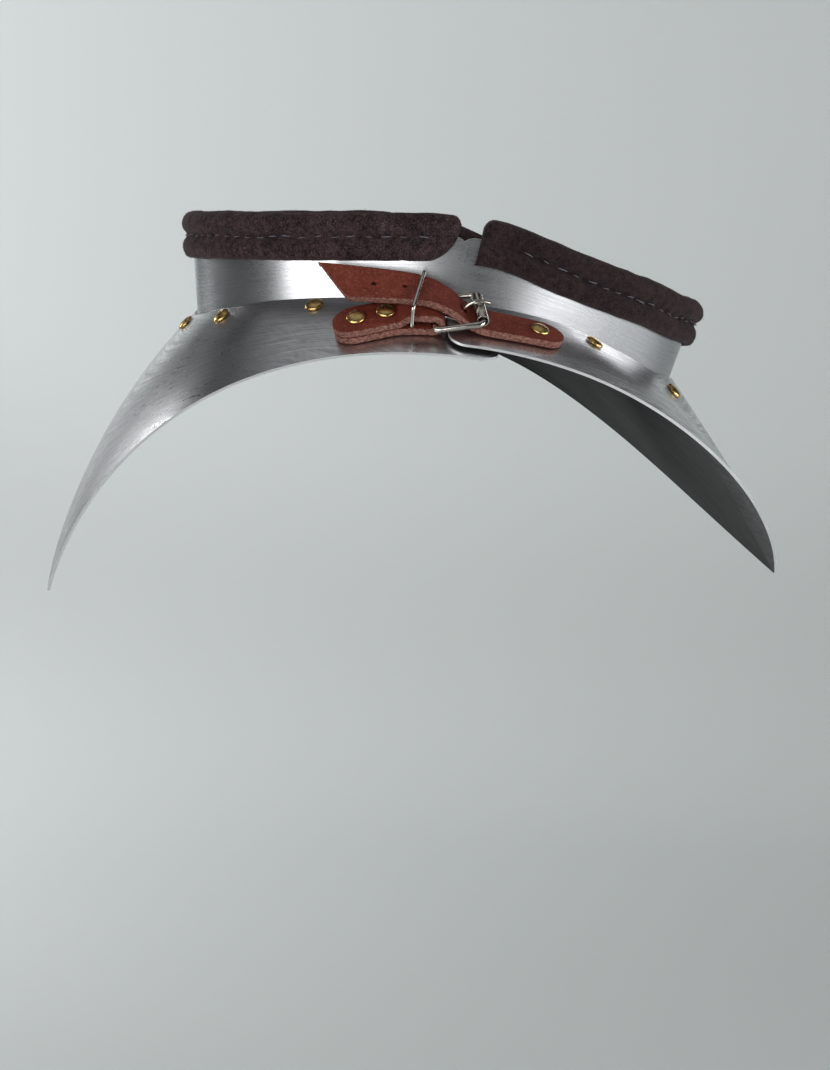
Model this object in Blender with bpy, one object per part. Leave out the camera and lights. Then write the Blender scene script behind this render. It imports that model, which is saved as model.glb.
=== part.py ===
"""Steel gorget: a collar and shoulder plates in two halves, buckled together at both sides.

Metres, +Z up. The origin is the neck seat, in the middle of the collar's foot. The front of the
gorget faces -Y and the wearer's left is +X. A "turn" is the angle around the neck, from the middle of
the back (0) to the middle of the front (pi); it is positive on the wearer's left.
"""
import math

import bmesh
import bpy
from mathutils import Vector

MM = 0.001

# Sheet steel
SHEET = 1.2 * MM
GAP = 0.3 * MM
LAYER = SHEET + GAP

# Foot of the collar, where its bands stand on the plates
NECK_HALF_WIDTH = 80 * MM
NECK_BACK = 102 * MM
NECK_FRONT = 99 * MM
FOOT_LIFT = 9 * MM
FOOT_DROP = 42.5 * MM

# Steel rim of the collar
RIM_HEIGHT = 34 * MM
RIM_DROP = 39.3 * MM
RIM_FORWARD = 10.6 * MM
RIM_FLARE = 1 * MM
BAND_INSET = 1.5 * MM
BAND_END_GAP = 0.5 * MM
BAND_UNDERLAP = 3 * MM
BAND_END_LEAN = 3 * MM
BAND_CORNER = 5 * MM
FLANGE = 12 * MM
BEND = 1.3 * MM
EDGE_CLEARANCE = 0.5 * MM
UNDERLAP_FROM = 3 * MM
UNDERLAP_TO = 8 * MM
# Rows of a collar section: shares of the flange, of the band's height and of its corner, and how many
# points the bend between them has, with how near the middle one lies to the corner
FLANGE_SHARES = (1, 0.6)
BEND_POINTS = 4
BEND_DEPTH = 0.3
BAND_SHARES = (0.3, 0.62)
BAND_CORNER_SHARES = (1, 0.55, 0.2, 0)

# Outer edge of the plates: one point at each side, a tip at the back and a tip at the front
SIDE_HALF_WIDTH = 108 * MM
SIDE_LEVEL = -14.3 * MM
SIDE_TAPER = -0.06
SIDE_SLOPE = 0.16
SIDE_REACH_BACK = 118 * MM
SIDE_REACH_FRONT = 73 * MM
BACK_TIP_OUT = 166 * MM
BACK_TIP_DROP = 115.5 * MM
BACK_TIP_WIDTH = 30 * MM
BACK_TIP_RUN = 8.5 * MM
BACK_TIP_RISE = 40 * MM
FRONT_TIP_OUT = 147.5 * MM
FRONT_TIP_DROP = 116.5 * MM
FRONT_TIP_WIDTH = 126 * MM
FRONT_TIP_RUN = 36.5 * MM
FRONT_TIP_RISE = 47.5 * MM
BACK_TIP = Vector((0, BACK_TIP_OUT, -BACK_TIP_DROP))
BACK_TIP_REACH = Vector((BACK_TIP_WIDTH, -BACK_TIP_RUN, BACK_TIP_RISE))
FRONT_TIP = Vector((0, -FRONT_TIP_OUT, -FRONT_TIP_DROP))
FRONT_TIP_REACH = Vector((FRONT_TIP_WIDTH, FRONT_TIP_RUN, FRONT_TIP_RISE))
BACK_EASE = 0.5
FRONT_EASE = -0.5
FULLNESS = 0.49
PLATE_CORNER = 6 * MM
FRONT_TUCK = 3.5 * MM
TUCK_FROM = 102
TUCK_TO = 128

# Turns in degrees where the bands and the plates end
BAND_END = 84.8
BACK_PLATE_END = 91.7
FRONT_PLATE_END = 83.0

# Shape around the neck. lift, drop, rim_drop and forward are shares of FOOT_LIFT, FOOT_DROP, RIM_DROP
# and RIM_FORWARD; start is the plate's slope at the collar, in degrees below level.
SECTION_COLUMNS = ("turn", "lift", "drop", "rim_drop", "forward", "start")
SECTIONS = (
    (0, 0.00, 0.00, 0.00, -0.17, 45),
    (25, 0.42, 0.00, 0.00, -0.10, 42),
    (45, 0.88, 0.00, 0.00, 0.00, 36),
    (60, 1.00, 0.00, 0.00, 0.10, 31),
    (75, 1.00, 0.04, 0.00, 0.25, 28),
    (90, 1.00, 0.15, 0.06, 0.50, 27),
    (110, 1.00, 0.33, 0.40, 0.80, 30),
    (130, 1.00, 0.64, 0.675, 0.90, 38),
    (150, 1.00, 0.90, 0.885, 0.97, 50),
    (180, 1.00, 1.00, 1.00, 1.00, 58),
)

# Felt pads rolled over the steel rim
PAD_RISE = 8.5 * MM
PAD_FALL = 10.5 * MM
PAD_OUT = 5.4 * MM
PAD_IN = 4.8 * MM
PAD_GAP = 0.9 * MM
BACK_PAD_END = 84.4
FRONT_PAD_END = 89.3
PAD_END_SLANT = 4.5 * MM
PAD_SLOT_SHARE = 0.94
# Outline of a pad's section: out as a share of PAD_OUT or PAD_IN, up as a share of PAD_RISE or PAD_FALL
PAD_OUTLINE = (
    (0.42, -1.00), (0.85, -0.84), (1.00, -0.48), (0.76, -0.06), (0.95, 0.42), (0.62, 0.88), (0.00, 1.00),
    (-0.62, 0.86), (-1.00, 0.36), (-1.00, -0.45), (-0.50, -1.00),
)

# Leather, rivets and the buckles' wire
LEATHER = 3 * MM
STRAP_WIDTH = 15.4 * MM
RIVET_HEAD = 3.8 * MM
RIVET_DOME = 1.7 * MM
RIVET_SHANK = 1.5 * MM
RIVET_TAIL = 2.6 * MM
RIVET_TAIL_HEIGHT = 0.8 * MM
RIVET_TAIL_GAP = 0.55 * MM
RIVET_LINE = 6.5 * MM
# Points of a rivet's dome, as shares of RIVET_HEAD and RIVET_DOME
RIVET_CURVE = ((0.82, 0.55), (0.42, 0.93))
HOLE_CLEARANCE = 0.3 * MM
BACK_RIVETS = (0, 27, -27, 55, -55)
FRONT_RIVETS = (150, -150, 117, -117)
BAR = 1.25 * MM
ROLLER = 2.5 * MM
PRONG = 0.9 * MM
KEEPER_WIRE = 0.8 * MM
FRAME_INNER = 18.6 * MM
FRAME_CORNER = 1.8 * MM
KEEPER_BEND = 1.6 * MM
HINGE_TURN = 80.2
ROLLER_TURN = 88.8
FRAME_ACROSS_HINGE = 15.4 * MM
FRAME_ACROSS_ROLLER = 14.4 * MM
PRONG_SLOT = 3.2 * MM
PRONG_HOLE = 2.3 * MM
PRONG_TURN = 85.5
PRONG_TIP = 91.0
TAIL_HOLE = 1.3 * MM

# Turns of the rivets through the leather, and their distances from the foot as shares of STRAP_WIDTH
CHAPE_RIVETS = ((66.7, 1.474), (71.6, 1.195))
TAIL_RIVET = (98.9, 1.188)
# Route of the folded strap: turn, distance from the foot as a share of STRAP_WIDTH, and how far its two
# layers part, as a share
CHAPE_ROUTE = (
    (62.8, 1.578, 0.0), (65.2, 1.545, 0.0), (69.0, 1.351, 0.0), (71.8, 1.188, 0.0), (73.7, 1.110, 0.02),
    (75.8, 1.065, 1.0), (77.6, 1.032, 1.0),
)
# Route of the buckled strap from its loose tip to its riveted end: turn, distance from the foot and
# height over where it lies on the front plate, both as shares of STRAP_WIDTH, and how far its face
# turns upright, in degrees
TAIL_ROUTE = (
    (57.5, 0.571, 0.597, 20), (61.0, 0.617, 0.578, 20), (65.0, 0.662, 0.562, 18), (69.0, 0.688, 0.545, 16),
    (73.5, 0.695, 0.526, 12), (77.0, 0.721, 0.506, 8), (79.9, 0.779, 0.468, 3), (83.2, 0.877, 0.338, 0),
    (86.2, 0.955, 0.136, 0), (89.2, 1.000, 0.032, 0), (93.0, 1.071, 0.006, 0), (97.0, 1.149, 0.006, 0),
    (100.0, 1.201, 0.006, 0), (101.6, 1.227, 0.006, 0), (103.4, 1.260, 0.006, 0),
)
TAIL_TIP_CUT = 12 * MM
TAIL_TIP_SHARE = 0.8
TAIL_HOLES = (68.8, 74.6)
# Half widths of a strap's round end, from its last section inwards, as shares of its half width
ROUND_END = (0.45, 0.9)
# Turns of the keeper's lower and upper side
KEEPER_TURNS = (76.3, 78.2)
KEEPER_ROOM = 0.8 * MM
# Angles of the prong's hook around the hinge bar, in degrees
PRONG_HOOK = (100, 135, 180, 225, 270, 310)
# Route of the prong after its hook: turn, what it passes, and how far over that, in radii of its wire
PRONG_ROUTE = (
    (82.8, "bar", -0.2), (PRONG_TURN - 0.9, "hole", -3.67), (PRONG_TURN + 0.3, "hole", 1.67),
    (87.1, "roller", -1.0), (ROLLER_TURN, "roller", 0.11), (PRONG_TIP, "roller", -0.33),
)

SHARED_TURNS = 26
END_COLUMNS = 5
CLOSE_COLUMN = 1.2
PAD_CLOSE_COLUMN = 2.8
PLATE_CORNER_ROWS = (0, 0.5, 0.85, 1)
WIRE_SIDES = 6
RIVET_SIDES = 8

STEEL = ((0.62, 0.63, 0.65), 0.3, 1.0)
FELT = ((0.035, 0.024, 0.026), 0.95, 0.0)
TAN_LEATHER = ((0.13, 0.05, 0.035), 0.6, 0.0)
BRASS = ((0.62, 0.43, 0.18), 0.3, 1.0)
NICKEL = ((0.7, 0.68, 0.64), 0.2, 1.0)


def clear_scene():
    """Remove the objects that Blender starts with."""
    for thing in list(bpy.data.objects):
        bpy.data.objects.remove(thing, do_unlink=True)


def column(name):
    """Turns in radians, values and level-ended slopes of one column of SECTIONS."""
    index = SECTION_COLUMNS.index(name)
    xs = [math.radians(row[0]) for row in SECTIONS]
    ys = [row[index] for row in SECTIONS]
    steps = [xs[i + 1] - xs[i] for i in range(len(xs) - 1)]
    rises = [(ys[i + 1] - ys[i]) / steps[i] for i in range(len(steps))]
    slopes = [0.0] * len(xs)
    for i in range(1, len(steps)):
        if rises[i - 1] * rises[i] > 0:
            near = 2 * steps[i] + steps[i - 1]
            far = steps[i] + 2 * steps[i - 1]
            slopes[i] = (near + far) / (near / rises[i - 1] + far / rises[i])
    return xs, ys, slopes


CURVES = {name: column(name) for name in SECTION_COLUMNS[1:]}


def share(name, turn):
    """A column of SECTIONS at any turn, by a curve that never overshoots its rows."""
    xs, ys, slopes = CURVES[name]
    turn = min(abs(turn), math.pi)
    i = 0
    while i < len(xs) - 2 and turn > xs[i + 1]:
        i += 1
    step = xs[i + 1] - xs[i]
    t = (turn - xs[i]) / step
    start = ys[i] * (1 + 2 * t) * (1 - t) ** 2 + slopes[i] * step * t * (1 - t) ** 2
    return start + ys[i + 1] * t * t * (3 - 2 * t) + slopes[i + 1] * step * t * t * (t - 1)


def smooth(value, low, high):
    """0 below low, 1 above high and a smooth step between them."""
    t = min(max((value - low) / (high - low), 0), 1)
    return t * t * (3 - 2 * t)


def foot(turn):
    """Point of the collar's foot, on the outer face of the back band."""
    reach = NECK_BACK if math.cos(turn) > 0 else NECK_FRONT
    level = FOOT_LIFT * share("lift", turn) - FOOT_DROP * share("drop", turn)
    return Vector((NECK_HALF_WIDTH * math.sin(turn), reach * math.cos(turn), level))


def rim(turn):
    """Point of the collar's steel rim above foot(turn)."""
    base = foot(turn)
    forward = RIM_FORWARD * share("forward", turn)
    level = RIM_HEIGHT - RIM_DROP * share("rim_drop", turn)
    return Vector((base.x + RIM_FLARE * math.sin(turn), base.y - forward, level))


def outward(turn):
    """Unit normal of the band's outer face."""
    step = 0.002
    along = foot(turn + step) - foot(turn - step)
    normal = (rim(turn) - foot(turn)).cross(along).normalized()
    return normal if normal.dot(foot(turn)) > 0 else -normal


def edge(turn):
    """Point of the plates' outer edge, on a curve from the side to a tip."""
    side = Vector((SIDE_HALF_WIDTH, 0, SIDE_LEVEL))
    heading = Vector((SIDE_TAPER, 1, SIDE_SLOPE))
    way = 1 - abs(turn) / (math.pi / 2)
    if way >= 0:
        tip, reach, handle, ease = BACK_TIP, BACK_TIP_REACH, side + heading * SIDE_REACH_BACK, BACK_EASE
    else:
        tip, reach, handle, ease = FRONT_TIP, FRONT_TIP_REACH, side - heading * SIDE_REACH_FRONT, FRONT_EASE
    way = abs(way) * (1 - ease) + ease * way * way
    stay = 1 - way
    point = side * stay ** 3 + handle * 3 * way * stay ** 2 + (tip + reach) * 3 * way ** 2 * stay
    point += tip * way ** 3
    return Vector((math.copysign(1, turn) * point.x, point.y, point.z))


def plate_span(turn):
    """Length of the straight line from the foot to the plates' edge."""
    return (edge(turn) - foot(turn)).length


def plate_point(turn, v):
    """Point of the middle surface of the back plate: v is 0 at the foot and 1 at the edge."""
    base = foot(turn)
    line = edge(turn) - base
    flat = Vector((line.x, line.y, 0)).normalized()
    slope = math.radians(share("start", turn))
    control = base + (flat * math.cos(slope) - Vector((0, 0, math.sin(slope)))) * FULLNESS * line.length
    return base * (1 - v) ** 2 + control * 2 * v * (1 - v) + edge(turn) * v * v


def plate_normal(turn, v):
    """Upward unit normal of plate_point."""
    step = 0.002
    along = plate_point(turn + step, v) - plate_point(turn - step, v)
    down = plate_point(turn, v + step) - plate_point(turn, v - step)
    normal = down.cross(along).normalized()
    return normal if normal.z > 0 else -normal


def over(turn, across, height):
    """Point a distance across from the foot, and at a height over the back plate's middle surface."""
    v = across / plate_span(turn)
    return plate_point(turn, v) + plate_normal(turn, v) * height


def uphill(turn, across):
    """Unit direction up the plate towards the collar."""
    step = 1 * MM
    return (over(turn, across - step, 0) - over(turn, across + step, 0)).normalized()


def material(name, look):
    """Principled material with a colour, a roughness and a metallic value."""
    color, roughness, metallic = look
    made = bpy.data.materials.new(name)
    made.use_nodes = True
    shader = made.node_tree.nodes["Principled BSDF"]
    shader.inputs["Base Color"].default_value = (*color, 1)
    shader.inputs["Roughness"].default_value = roughness
    shader.inputs["Metallic"].default_value = metallic
    return made


def add_object(name, mesh_builder, look, rounded=True):
    """Turn a bmesh into a named object with outward faces and its own material."""
    bmesh.ops.recalc_face_normals(mesh_builder, faces=mesh_builder.faces)
    if mesh_builder.calc_volume(signed=True) < 0:
        bmesh.ops.reverse_faces(mesh_builder, faces=mesh_builder.faces)
    data = bpy.data.meshes.new(name)
    mesh_builder.to_mesh(data)
    mesh_builder.free()
    if rounded:
        data.shade_smooth()
    else:
        data.shade_flat()
    thing = bpy.data.objects.new(name, data)
    bpy.context.scene.collection.objects.link(thing)
    data.materials.append(material(name, look))
    return thing


def grid_normals(rows):
    """Unit normals of a grid of points, from the points beside each one."""
    last_row, last_col = len(rows) - 1, len(rows[0]) - 1
    normals = []
    for i, row in enumerate(rows):
        line = []
        for j in range(len(row)):
            across = rows[min(i + 1, last_row)][j] - rows[max(i - 1, 0)][j]
            along = row[min(j + 1, last_col)] - row[max(j - 1, 0)]
            line.append(across.cross(along).normalized())
        normals.append(line)
    return normals


def sheet(name, rows, look):
    """Closed steel sheet, SHEET thick, around a grid of middle points."""
    builder = bmesh.new()
    normals = grid_normals(rows)
    sides = []
    for sign in (1, -1):
        sides.append([
            [builder.verts.new(p + n * sign * SHEET / 2) for p, n in zip(row, line)]
            for row, line in zip(rows, normals)
        ])
    count, width = len(rows), len(rows[0])
    for grid in sides:
        for i in range(count - 1):
            for j in range(width - 1):
                builder.faces.new((grid[i][j], grid[i][j + 1], grid[i + 1][j + 1], grid[i + 1][j]))
    border = [(0, j) for j in range(width - 1)]
    border += [(i, width - 1) for i in range(count - 1)]
    border += [(count - 1, j) for j in range(width - 1, 0, -1)]
    border += [(i, 0) for i in range(count - 1, 0, -1)]
    top, bottom = sides
    for (i, j), (k, m) in zip(border, border[1:] + border[:1]):
        builder.faces.new((top[i][j], top[k][m], bottom[k][m], bottom[i][j]))
    return add_object(name, builder, look)


def sweep(name, rings, look, closed=False, rounded=True):
    """Closed solid through rings of points, with flat ends unless it closes on itself."""
    builder = bmesh.new()
    loops = [[builder.verts.new(point) for point in ring] for ring in rings]
    count = len(loops[0])
    pairs = list(zip(loops, loops[1:]))
    if closed:
        pairs.append((loops[-1], loops[0]))
    for one, two in pairs:
        for j in range(count):
            k = (j + 1) % count
            builder.faces.new((one[j], one[k], two[k], two[j]))
    if not closed:
        for loop in (loops[0], loops[-1]):
            cap = builder.faces.new(loop)
            bmesh.ops.triangulate(builder, faces=[cap])
    return add_object(name, builder, look, rounded)


def wire_rings(points, radius, closed=False, sides=WIRE_SIDES):
    """Round section rings along a line of points, with no twist."""
    last = len(points) - 1
    guide = None
    rings = []
    for i, point in enumerate(points):
        before = points[i - 1] if (i or closed) else point
        after = points[(i + 1) % len(points)] if (i < last or closed) else point
        tangent = (after - before).normalized()
        if guide is None:
            guide = tangent.orthogonal().normalized()
        guide = (guide - tangent * guide.dot(tangent)).normalized()
        other = tangent.cross(guide)
        angles = [2 * math.pi * k / sides for k in range(sides)]
        rings.append([point + (guide * math.cos(a) + other * math.sin(a)) * radius for a in angles])
    return rings


def rounded_loop(corners, radius, steps=3):
    """Closed line through corners, each rounded by a small curve."""
    points = []
    for i, corner in enumerate(corners):
        before = (corners[i - 1] - corner).normalized() * radius
        after = (corners[(i + 1) % len(corners)] - corner).normalized() * radius
        for k in range(steps):
            t = k / (steps - 1)
            points.append(corner + before * (1 - t) ** 2 + after * t * t)
    return points


def strip_rings(points, across, thickness, widths):
    """Flat strap sections: across holds width directions, widths the reach to each edge."""
    last = len(points) - 1
    rings = []
    for i, point in enumerate(points):
        tangent = (points[min(i + 1, last)] - points[max(i - 1, 0)]).normalized()
        side = (across[i] - tangent * across[i].dot(tangent)).normalized()
        face = tangent.cross(side)
        low, high = widths[i]
        half = face * thickness / 2
        rings.append([
            point + side * high + half, point + side * high - half,
            point - side * low - half, point - side * low + half,
        ])
    return rings


def corner_cut(distance, radius):
    """How far a rounded corner draws an end back, at a distance below the corner's edge."""
    if distance >= radius:
        return 0
    return radius - math.sqrt(radius ** 2 - (radius - distance) ** 2)


def turn_at(end, shift):
    """A turn near the side, moved towards the back by a length."""
    return end - shift / NECK_BACK


def angles(end, nominal_end, close_by=CLOSE_COLUMN):
    """Angles from a half's middle to both its ends, on turns that all the sheets share.

    Only the last two at each side follow this row's own end.
    """
    step = math.pi / SHARED_TURNS
    last = int((nominal_end - math.radians(END_COLUMNS)) / step)
    inner = [k * step for k in range(-last, last + 1)]
    close = end - math.radians(close_by)
    return [-end, -close] + inner + [close, end]


def place_turn(half, from_middle):
    """Turn of a point at a signed angle from the middle of the back or the front half."""
    if half == "back":
        return from_middle
    return math.copysign(math.pi, from_middle) - from_middle if from_middle else math.pi


HALVES = {
    # how many layers its plate lies above the back plate, and how far its band is set in
    "back": (0, 0.0),
    "front": (2, BAND_INSET),
}


def band_heights(turn):
    """Height of a collar section's points up the band, 0 for those of its flange and bend, and its rim's."""
    height = (rim(turn) - foot(turn)).length
    flat = [0.0] * (len(FLANGE_SHARES) + BEND_POINTS)
    heights = flat + [height * s for s in BAND_SHARES]
    heights += [height - BAND_CORNER * s for s in BAND_CORNER_SHARES]
    return heights, height


def band_section(half, turn):
    """Points of one collar section, from the flange's edge to the bend and up to the rim."""
    level, inset = HALVES[half]
    lift = (level - 1) * LAYER
    up = (rim(turn) - foot(turn)).normalized()
    root = foot(turn) - outward(turn) * (SHEET / 2 + inset)
    normal = plate_normal(turn, 0)
    rise = (foot(turn) + normal * lift - root).dot(normal) / up.dot(normal)
    corner = root + up * rise
    out_point = over(turn, 3 * BEND, lift)
    out = (out_point - corner).normalized()
    points = [over(turn, FLANGE * s, lift) for s in FLANGE_SHARES]
    bend_middle = corner + (out + up) * BEND * BEND_DEPTH
    points += [out_point, corner + out * BEND, bend_middle, corner + up * BEND]
    heights, _ = band_heights(turn)
    return points + [root + up * height for height in heights[len(points):]]


def collar(half):
    """Steel band around the neck with the flange that its plate is riveted to."""
    rows = []
    for index in range(len(band_heights(0)[0])):
        end = band_end(half, index)
        turns = [place_turn(half, angle) for angle in angles(end, half_end(half, BAND_END))]
        rows.append([band_section(half, turn)[index] for turn in turns])
    return sheet(half + "_collar", rows, STEEL)


def half_end(half, turn_degrees):
    """Angle from the middle of a half to a turn in degrees."""
    turn = math.radians(turn_degrees)
    return turn if half == "back" else math.pi - turn


def band_end(half, index):
    """Angle from the middle of a half to its band's end, for one row of its section."""
    edge_turn = math.radians(BAND_END)
    heights, height = band_heights(edge_turn)
    up = heights[index]
    lean = BAND_END_LEAN * smooth(up, 0, height)
    cut = corner_cut(height - up, BAND_CORNER)
    if half == "back":
        return turn_at(edge_turn, -lean + cut)
    under = BAND_UNDERLAP * smooth(up, UNDERLAP_FROM, UNDERLAP_TO)
    start = turn_at(edge_turn, -lean - BAND_END_GAP + under - cut)
    return math.pi - start


def plate_start(half, turn):
    """Distance from the foot where a plate begins, just clear of the band beside it."""
    level, inset = HALVES[half]
    if half == "front":
        inset *= smooth(abs(turn), math.radians(BAND_END + 2), math.radians(BAND_END + 14))
    facing = outward(turn)
    normal = plate_normal(turn, 0)
    heights = (level * LAYER - SHEET / 2, level * LAYER + SHEET / 2)
    nearest = min((normal * h).dot(facing) for h in heights) + inset
    out = -uphill(turn, 0)
    return (EDGE_CLEARANCE - nearest) / out.dot(facing)


def plate_rows(half, turn):
    """Distances from the foot of one column of a plate's points."""
    span = plate_span(turn)
    last = span
    if half == "front":
        last -= FRONT_TUCK * (1 - smooth(abs(turn), math.radians(TUCK_FROM), math.radians(TUCK_TO)))
    corner = last - PLATE_CORNER
    wide = FLANGE + GAP
    start = plate_start(half, turn)
    over_flange = [start, start + (wide - start) * 0.5, wide]
    return over_flange + [wide + (corner - wide) * s for s in (0.3, 0.6, 1)] + [
        corner + PLATE_CORNER * s for s in PLATE_CORNER_ROWS[1:]
    ]


def plate(half):
    """Shoulder plate: one curved sheet from the collar to its pointed edge."""
    level, _ = HALVES[half]
    nominal = half_end(half, BACK_PLATE_END if half == "back" else FRONT_PLATE_END)
    first_corner = len(plate_rows(half, 0)) - len(PLATE_CORNER_ROWS)
    rows = []
    for index in range(first_corner + len(PLATE_CORNER_ROWS)):
        cut = 0
        if index >= first_corner:
            cut = corner_cut(PLATE_CORNER * (1 - PLATE_CORNER_ROWS[index - first_corner]), PLATE_CORNER)
        row = []
        for angle in angles(nominal - cut / SIDE_HALF_WIDTH, nominal):
            turn = place_turn(half, angle)
            row.append(over(turn, plate_rows(half, turn)[index], level * LAYER))
        rows.append(row)
    return sheet(half + "_plate", rows, STEEL)


def pad_ring(half, turn, end_blend):
    """Section of a pad around the rim; end_blend draws its inner side back at an end."""
    _, inset = HALVES[half]
    slot = SHEET / 2 + PAD_GAP
    ring = []
    for out, up in PAD_OUTLINE:
        aside = out * (PAD_OUT if out > 0 else PAD_IN)
        rise = up * (PAD_RISE if up > 0 else PAD_FALL)
        ring.append((aside, rise))
    foot_of_slot = -PAD_FALL * PAD_SLOT_SHARE
    ring += [(-slot, foot_of_slot), (-slot, PAD_GAP), (slot, PAD_GAP), (slot, foot_of_slot)]
    points = []
    for aside, rise in ring:
        slant = PAD_END_SLANT * smooth(-aside, -2 * slot, 0) * end_blend if half == "back" else 0
        place = math.copysign(abs(turn) - slant / NECK_BACK, turn)
        up = (rim(place) - foot(place)).normalized()
        facing = outward(place)
        middle = rim(place) - facing * (SHEET / 2 + inset)
        points.append(middle + facing * aside + up * rise)
    return points


def pad(half):
    """Padded roll that wraps the steel rim of one half."""
    end = half_end(half, BACK_PAD_END if half == "back" else FRONT_PAD_END)
    rings = []
    for angle in angles(end, end, PAD_CLOSE_COLUMN):
        blend = smooth(abs(angle), end - math.radians(END_COLUMNS), end)
        rings.append(pad_ring(half, place_turn(half, angle), blend))
    return sweep(half + "_pad", rings, FELT)


def rivet(name, turn, across, low, high):
    """Domed rivet from the height of its tail's seat to the height of its head's seat."""
    base = over(turn, across, 0)
    axis = plate_normal(turn, across / plate_span(turn))
    guide = uphill(turn, across)
    other = axis.cross(guide)
    profile = (
        (RIVET_TAIL, low - RIVET_TAIL_HEIGHT), (RIVET_TAIL, low), (RIVET_SHANK, low),
        (RIVET_SHANK, high), (RIVET_HEAD, high),
    ) + tuple((RIVET_HEAD * out, high + RIVET_DOME * up) for out, up in RIVET_CURVE)
    rings = []
    for radius, height in profile:
        angles = [2 * math.pi * k / RIVET_SIDES for k in range(RIVET_SIDES)]
        rings.append([
            base + axis * height + (guide * math.cos(a) + other * math.sin(a)) * radius for a in angles
        ])
    return sweep(name, rings, BRASS)


def hole_cutter(name, holes, radius):
    """Hidden cylinders, one along each (point, axis, length) of holes."""
    builder = bmesh.new()
    for point, axis, length in holes:
        guide = axis.orthogonal().normalized()
        other = axis.cross(guide)
        loops = []
        for end in (-length / 2, length / 2):
            angles = [2 * math.pi * k / RIVET_SIDES for k in range(RIVET_SIDES)]
            loops.append([
                builder.verts.new(point + axis * end + (guide * math.cos(a) + other * math.sin(a)) * radius)
                for a in angles
            ])
        for j in range(RIVET_SIDES):
            k = (j + 1) % RIVET_SIDES
            builder.faces.new((loops[0][j], loops[0][k], loops[1][k], loops[1][j]))
        builder.faces.new(loops[0])
        builder.faces.new(loops[1])
    cutter = add_object(name, builder, STEEL, rounded=False)
    cutter.hide_render = True
    cutter.hide_viewport = True
    cutter.display_type = "WIRE"
    return cutter


def cut_holes(thing, cutter):
    """Cut a piece with a hidden cutter."""
    cut = thing.modifiers.new("holes", "BOOLEAN")
    cut.object = cutter
    cut.operation = "DIFFERENCE"
    cut.solver = "EXACT"


def rivet_hole(turn, across, height, length):
    """Hole for a rivet's shank: its middle, its axis and its length."""
    return over(turn, across, height), plate_normal(turn, across / plate_span(turn)), length


def layer_gap(part):
    """Distance between the middles of the folded strap's two layers, where they part by a share."""
    close = LEATHER + GAP
    apart = LEATHER + 2 * BAR + 2 * GAP
    return close + (apart - close) * part


LOWER_LAYER = SHEET / 2 + GAP + LEATHER / 2
BAR_HEIGHT = LOWER_LAYER + layer_gap(1) / 2
CHAPE_TOP = LOWER_LAYER + layer_gap(0) + LEATHER / 2
TAIL_BED = 2 * LAYER + SHEET / 2 + GAP + LEATHER / 2


def route_at(route, turn):
    """Row of a route at any turn in degrees, on straight lines between its rows."""
    i = max(k for k in range(len(route) - 1) if k == 0 or route[k][0] <= turn)
    t = (turn - route[i][0]) / (route[i + 1][0] - route[i][0])
    return tuple(one + (two - one) * t for one, two in zip(route[i], route[i + 1]))


def tail_height(turn):
    """Height of the buckled strap's middle over the back plate, at a turn in degrees."""
    return TAIL_BED + route_at(TAIL_ROUTE, turn)[2] * STRAP_WIDTH


def tail_place(row, sign):
    """Middle of the buckled strap and the way across it, for one row of its route."""
    turn, across, upright = math.radians(row[0]) * sign, row[1] * STRAP_WIDTH, math.radians(row[3])
    up = plate_normal(turn, across / plate_span(turn))
    point = over(turn, across, TAIL_BED + row[2] * STRAP_WIDTH)
    return point, uphill(turn, across) * math.cos(upright) + up * math.sin(upright)


def roller_height():
    """Height of the roller's axis, resting on the buckled strap."""
    return tail_height(ROLLER_TURN) + LEATHER / 2 + GAP + ROLLER


def hinge_frame(sign):
    """Middle of the hinge bar with its directions ahead (to the front), across and up."""
    turn = math.radians(HINGE_TURN) * sign
    middle = over(turn, FRAME_ACROSS_HINGE, BAR_HEIGHT)
    side = uphill(turn, FRAME_ACROSS_HINGE)
    up = plate_normal(turn, FRAME_ACROSS_HINGE / plate_span(turn))
    ahead = side.cross(up)
    if ahead.y > 0:
        ahead = -ahead
    return middle, ahead, side, up


def chape(label, sign):
    """Short strap folded around the buckle's hinge bar and riveted to the back half."""
    middle, ahead, side, up = hinge_frame(sign)
    low, high, sides = [], [], []
    for degrees, share_out, part in CHAPE_ROUTE:
        turn, across = math.radians(degrees) * sign, share_out * STRAP_WIDTH
        low.append(over(turn, across, LOWER_LAYER))
        high.append(over(turn, across, LOWER_LAYER + layer_gap(part)))
        sides.append(uphill(turn, across))
    for i, way in enumerate(sides):
        step = (low[min(i + 1, len(low) - 1)] - low[max(i - 1, 0)]).normalized()
        sides[i] = (way - step * way.dot(step)).normalized()
    angles = [math.pi * k / 4 for k in range(5)]
    fold = [middle + (ahead * math.sin(a) - up * math.cos(a)) * layer_gap(1) / 2 for a in angles]
    points = low + fold + high[::-1]
    across_directions = sides + [side] * len(fold) + sides[::-1]
    half = STRAP_WIDTH / 2
    widths = [(half, half)] * len(points)
    for i, part in enumerate(ROUND_END):
        widths[i] = widths[-1 - i] = (half * part, half * part)
    thing = sweep(label + "_chape", strip_rings(points, across_directions, LEATHER, widths), TAN_LEATHER)
    stack = (LOWER_LAYER + CHAPE_TOP) / 2
    holes = [
        rivet_hole(math.radians(turn) * sign, share_out * STRAP_WIDTH, stack, 3 * LEATHER)
        for turn, share_out in CHAPE_RIVETS
    ]
    cut_holes(thing, hole_cutter(label + "_chape_holes", holes, RIVET_SHANK + HOLE_CLEARANCE))
    slot = box_cutter(label + "_chape_slot", middle + ahead * LEATHER / 2, (ahead, up.cross(ahead), up),
                      (2 * LEATHER + 3 * ROLLER, PRONG_SLOT, 4 * LEATHER))
    cut_holes(thing, slot)


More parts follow.
